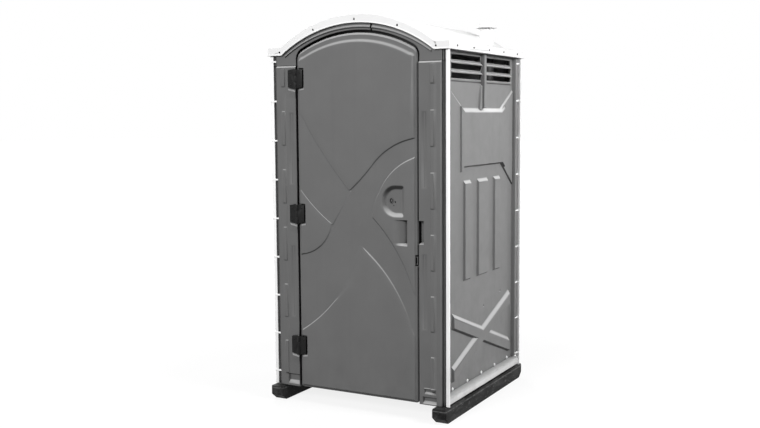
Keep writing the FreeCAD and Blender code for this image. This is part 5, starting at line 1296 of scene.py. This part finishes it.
def eye(x):
    """A ring on the seat's pin."""
    inner, outer = EYE_RADII
    wide = x[1] - x[0]
    profile = [(inner, 0.6), (inner + 0.6, 0), (outer - 1.2, 0), (outer, 1.2), (outer, wide - 1.2),
               (outer - 1.2, wide), (inner + 0.6, wide), (inner, wide - 0.6)]
    return turned((x[0], *SEAT_AXIS), (1, 0, 0), profile, 24)


def arms(mesh, eyes, heights):
    """The pair of arms that carry a seat or a lid on its pins."""
    for side in (-1, 1):
        x = sorted((side * eyes[0], side * eyes[1]))
        add_to(mesh, eye(x))
        add_to(mesh, soft_box(x, (SEAT_MIDDLE + 158, SEAT_AXIS[0] - 7.5), heights, 2.0))


def make_seat():
    """The ring, crowned on both sides of its rim, on four buffers."""
    outline, hole = seat_oval(SEAT_PLAN), seat_oval(SEAT_HOLE)
    low, high = SEAT_HEIGHTS

    def fall(p, radius):
        d = np.clip(-depth_in(p, hole), 0, radius)
        return rounding(p, outline, radius) + radius - np.sqrt(np.maximum(radius ** 2 - (radius - d) ** 2, 0))

    rows = rim_rows(outline, SEAT_CROWN) + rim_rows(hole, -SEAT_CROWN)
    mesh = relief_mesh("ring", outline, rows, lambda p: high - fall(p, SEAT_CROWN),
                       lambda p: low + fall(p, 2.5), on_top, [hole])
    arms(mesh, SEAT_EYES, (low + 4, high - 1.5))
    for x, y in ((-147.5, 120), (147.5, 120), (-147.5, 350), (147.5, 350)):
        add_to(mesh, turned((x, y, low - 4), (0, 0, 1), [(7.5, 0), (9, 1.2), (9, 6)]))
    add_piece("seat_ring", mesh, "seat")


def make_lid():
    """Drawn shut on the seat, then turned up against the rear wall."""
    outline = seat_oval(SEAT_PLAN)
    low, high = LID_HEIGHTS
    hollow = Step(inset(outline, 8.0), 6.0, 1.5)
    rows = rim_rows(outline, 14.0) + rim_rows(outline, LID_CROWN) + [hollow]
    mesh = relief_mesh("lid", outline, rows, lambda p: high - rounding(p, outline, LID_CROWN),
                       lambda p: low + rounding(p, outline, 1.5) + 3.0 * hollow.height(p), on_top)
    arms(mesh, LID_EYES, (low, low + 7.2))
    for side in (-1, 1):
        x = sorted((side * LID_EYES[0], side * LID_EYES[1]))
        add_to(mesh, soft_box(x, (SEAT_AXIS[0] - 10, SEAT_AXIS[0] - 5.5), (SEAT_AXIS[1], low + 7.2), 1.0))
    hinge = Vector((0, *SEAT_AXIS)) * MM
    mesh.transform(Matrix.Translation(hinge) @ Matrix.Rotation(math.radians(LID_BACK), 4, "X")
                   @ Matrix.Translation(-hinge))
    add_piece("seat_cover", mesh, "seat_lid")


# Stage and light

WHITE_WORLD = 0.15
FLOOR_SIZE = 60.0
FLOOR_GREY = grey(0.15)
FLOOR_GLOW = (0.84, 1.0)
FLOOR_FADE = (1.5, 6.0)


def seen(tree):
    """1 for what the camera sees, itself, mirrored or through a clear surface."""
    path = add_node(tree, "LightPath").outputs
    direct = maths(tree, "MAXIMUM", path["Is Camera Ray"], path["Is Transmission Ray"])
    return maths(tree, "MAXIMUM", direct, path["Is Glossy Ray"])


def make_world():
    world = bpy.data.worlds.new("studio")
    bpy.context.scene.world = world
    world.use_nodes = True
    tree = world.node_tree
    tree.nodes.clear()
    plain = add_node(tree, "Background", Strength=WHITE_WORLD)
    shown = add_node(tree, "Background", Color=grey(1.0))
    mix = add_node(tree, "MixShader", Fac=seen(tree))
    tree.links.new(plain.outputs["Background"], mix.inputs[1])
    tree.links.new(shown.outputs["Background"], mix.inputs[2])
    add_node(tree, "OutputWorld", Surface=mix.outputs["Shader"])


def make_floor():
    """A broad pale floor that the camera sees as white, with the object's shadow kept."""
    mesh = bpy.data.meshes.new("floor")
    corners = [(x * FLOOR_SIZE, y * FLOOR_SIZE, 0) for x, y in ((-1, -1), (1, -1), (1, 1), (-1, 1))]
    mesh.from_pydata(corners, [], [(0, 1, 2, 3)])
    floor = put("floor", mesh)
    tree, shader = new_material("floor_pale")
    shader.inputs["Roughness"].default_value = 0.9
    shader.inputs["Specular IOR Level"].default_value = 0.0
    shader.inputs["Base Color"].default_value = (*FLOOR_GREY, 1)
    reach = add_node(tree, "VectorMath")
    reach.operation = "LENGTH"
    tree.links.new(own(tree), reach.inputs[0])
    fade = spread(tree, reach.outputs["Value"], *FLOOR_FADE, *FLOOR_GLOW)
    glow = add_node(tree, "Emission", Strength=maths(tree, "MULTIPLY", seen(tree), fade))
    both = add_node(tree, "AddShader")
    tree.links.new(shader.outputs["BSDF"], both.inputs[0])
    tree.links.new(glow.outputs["Emission"], both.inputs[1])
    output = next(n for n in tree.nodes if n.type == "OUTPUT_MATERIAL")
    tree.links.new(both.outputs["Shader"], output.inputs["Surface"])
    dress(mesh, "floor_pale")


def area_light(name, place, target, size, power):
    data = bpy.data.lights.new(name, "AREA")
    data.shape = "DISK"
    data.size = size
    data.energy = power
    light = put(name, data)
    light.location = place
    light.rotation_euler = (Vector(target) - Vector(place)).to_track_quat("-Z", "Y").to_euler()


def make_lights():
    area_light("sky", (-2.8, -2.0, 8.1), (0, 0, 1.0), 3.0, 130)
    area_light("front", (-1.0, -11.0, 6.2), (0, -0.5, 1.1), 4.0, 1200)
    area_light("side", (5.2, -0.5, 3.3), (0.57, 0, 1.1), 2.0, 280)
    area_light("rear", (2.4, 6.0, 5.2), (0.57, 0, 1.2), 2.0, 100)
    area_light("left_rear", (-6.5, 7.0, 4.0), (0, 0, 1.1), 4.0, 620)
    area_light("inside", (0, 0, 1.85), (0, 0, 0), 0.6, 3)


for make in (make_camera, make_world, make_floor, make_lights, make_materials, dress_cad_nodes, make_eased,
             make_walls, make_rear_wall, make_door_skin, make_door_liner):
    make()
for side_of_door in (-1, 1):
    make_jamb(side_of_door)
for make in (make_header, make_roof_lip, make_runners, make_fasteners, make_hinges, make_lock_face, make_seat,
             make_lid):
    make()

bpy.context.scene.view_settings.view_transform = "Standard"
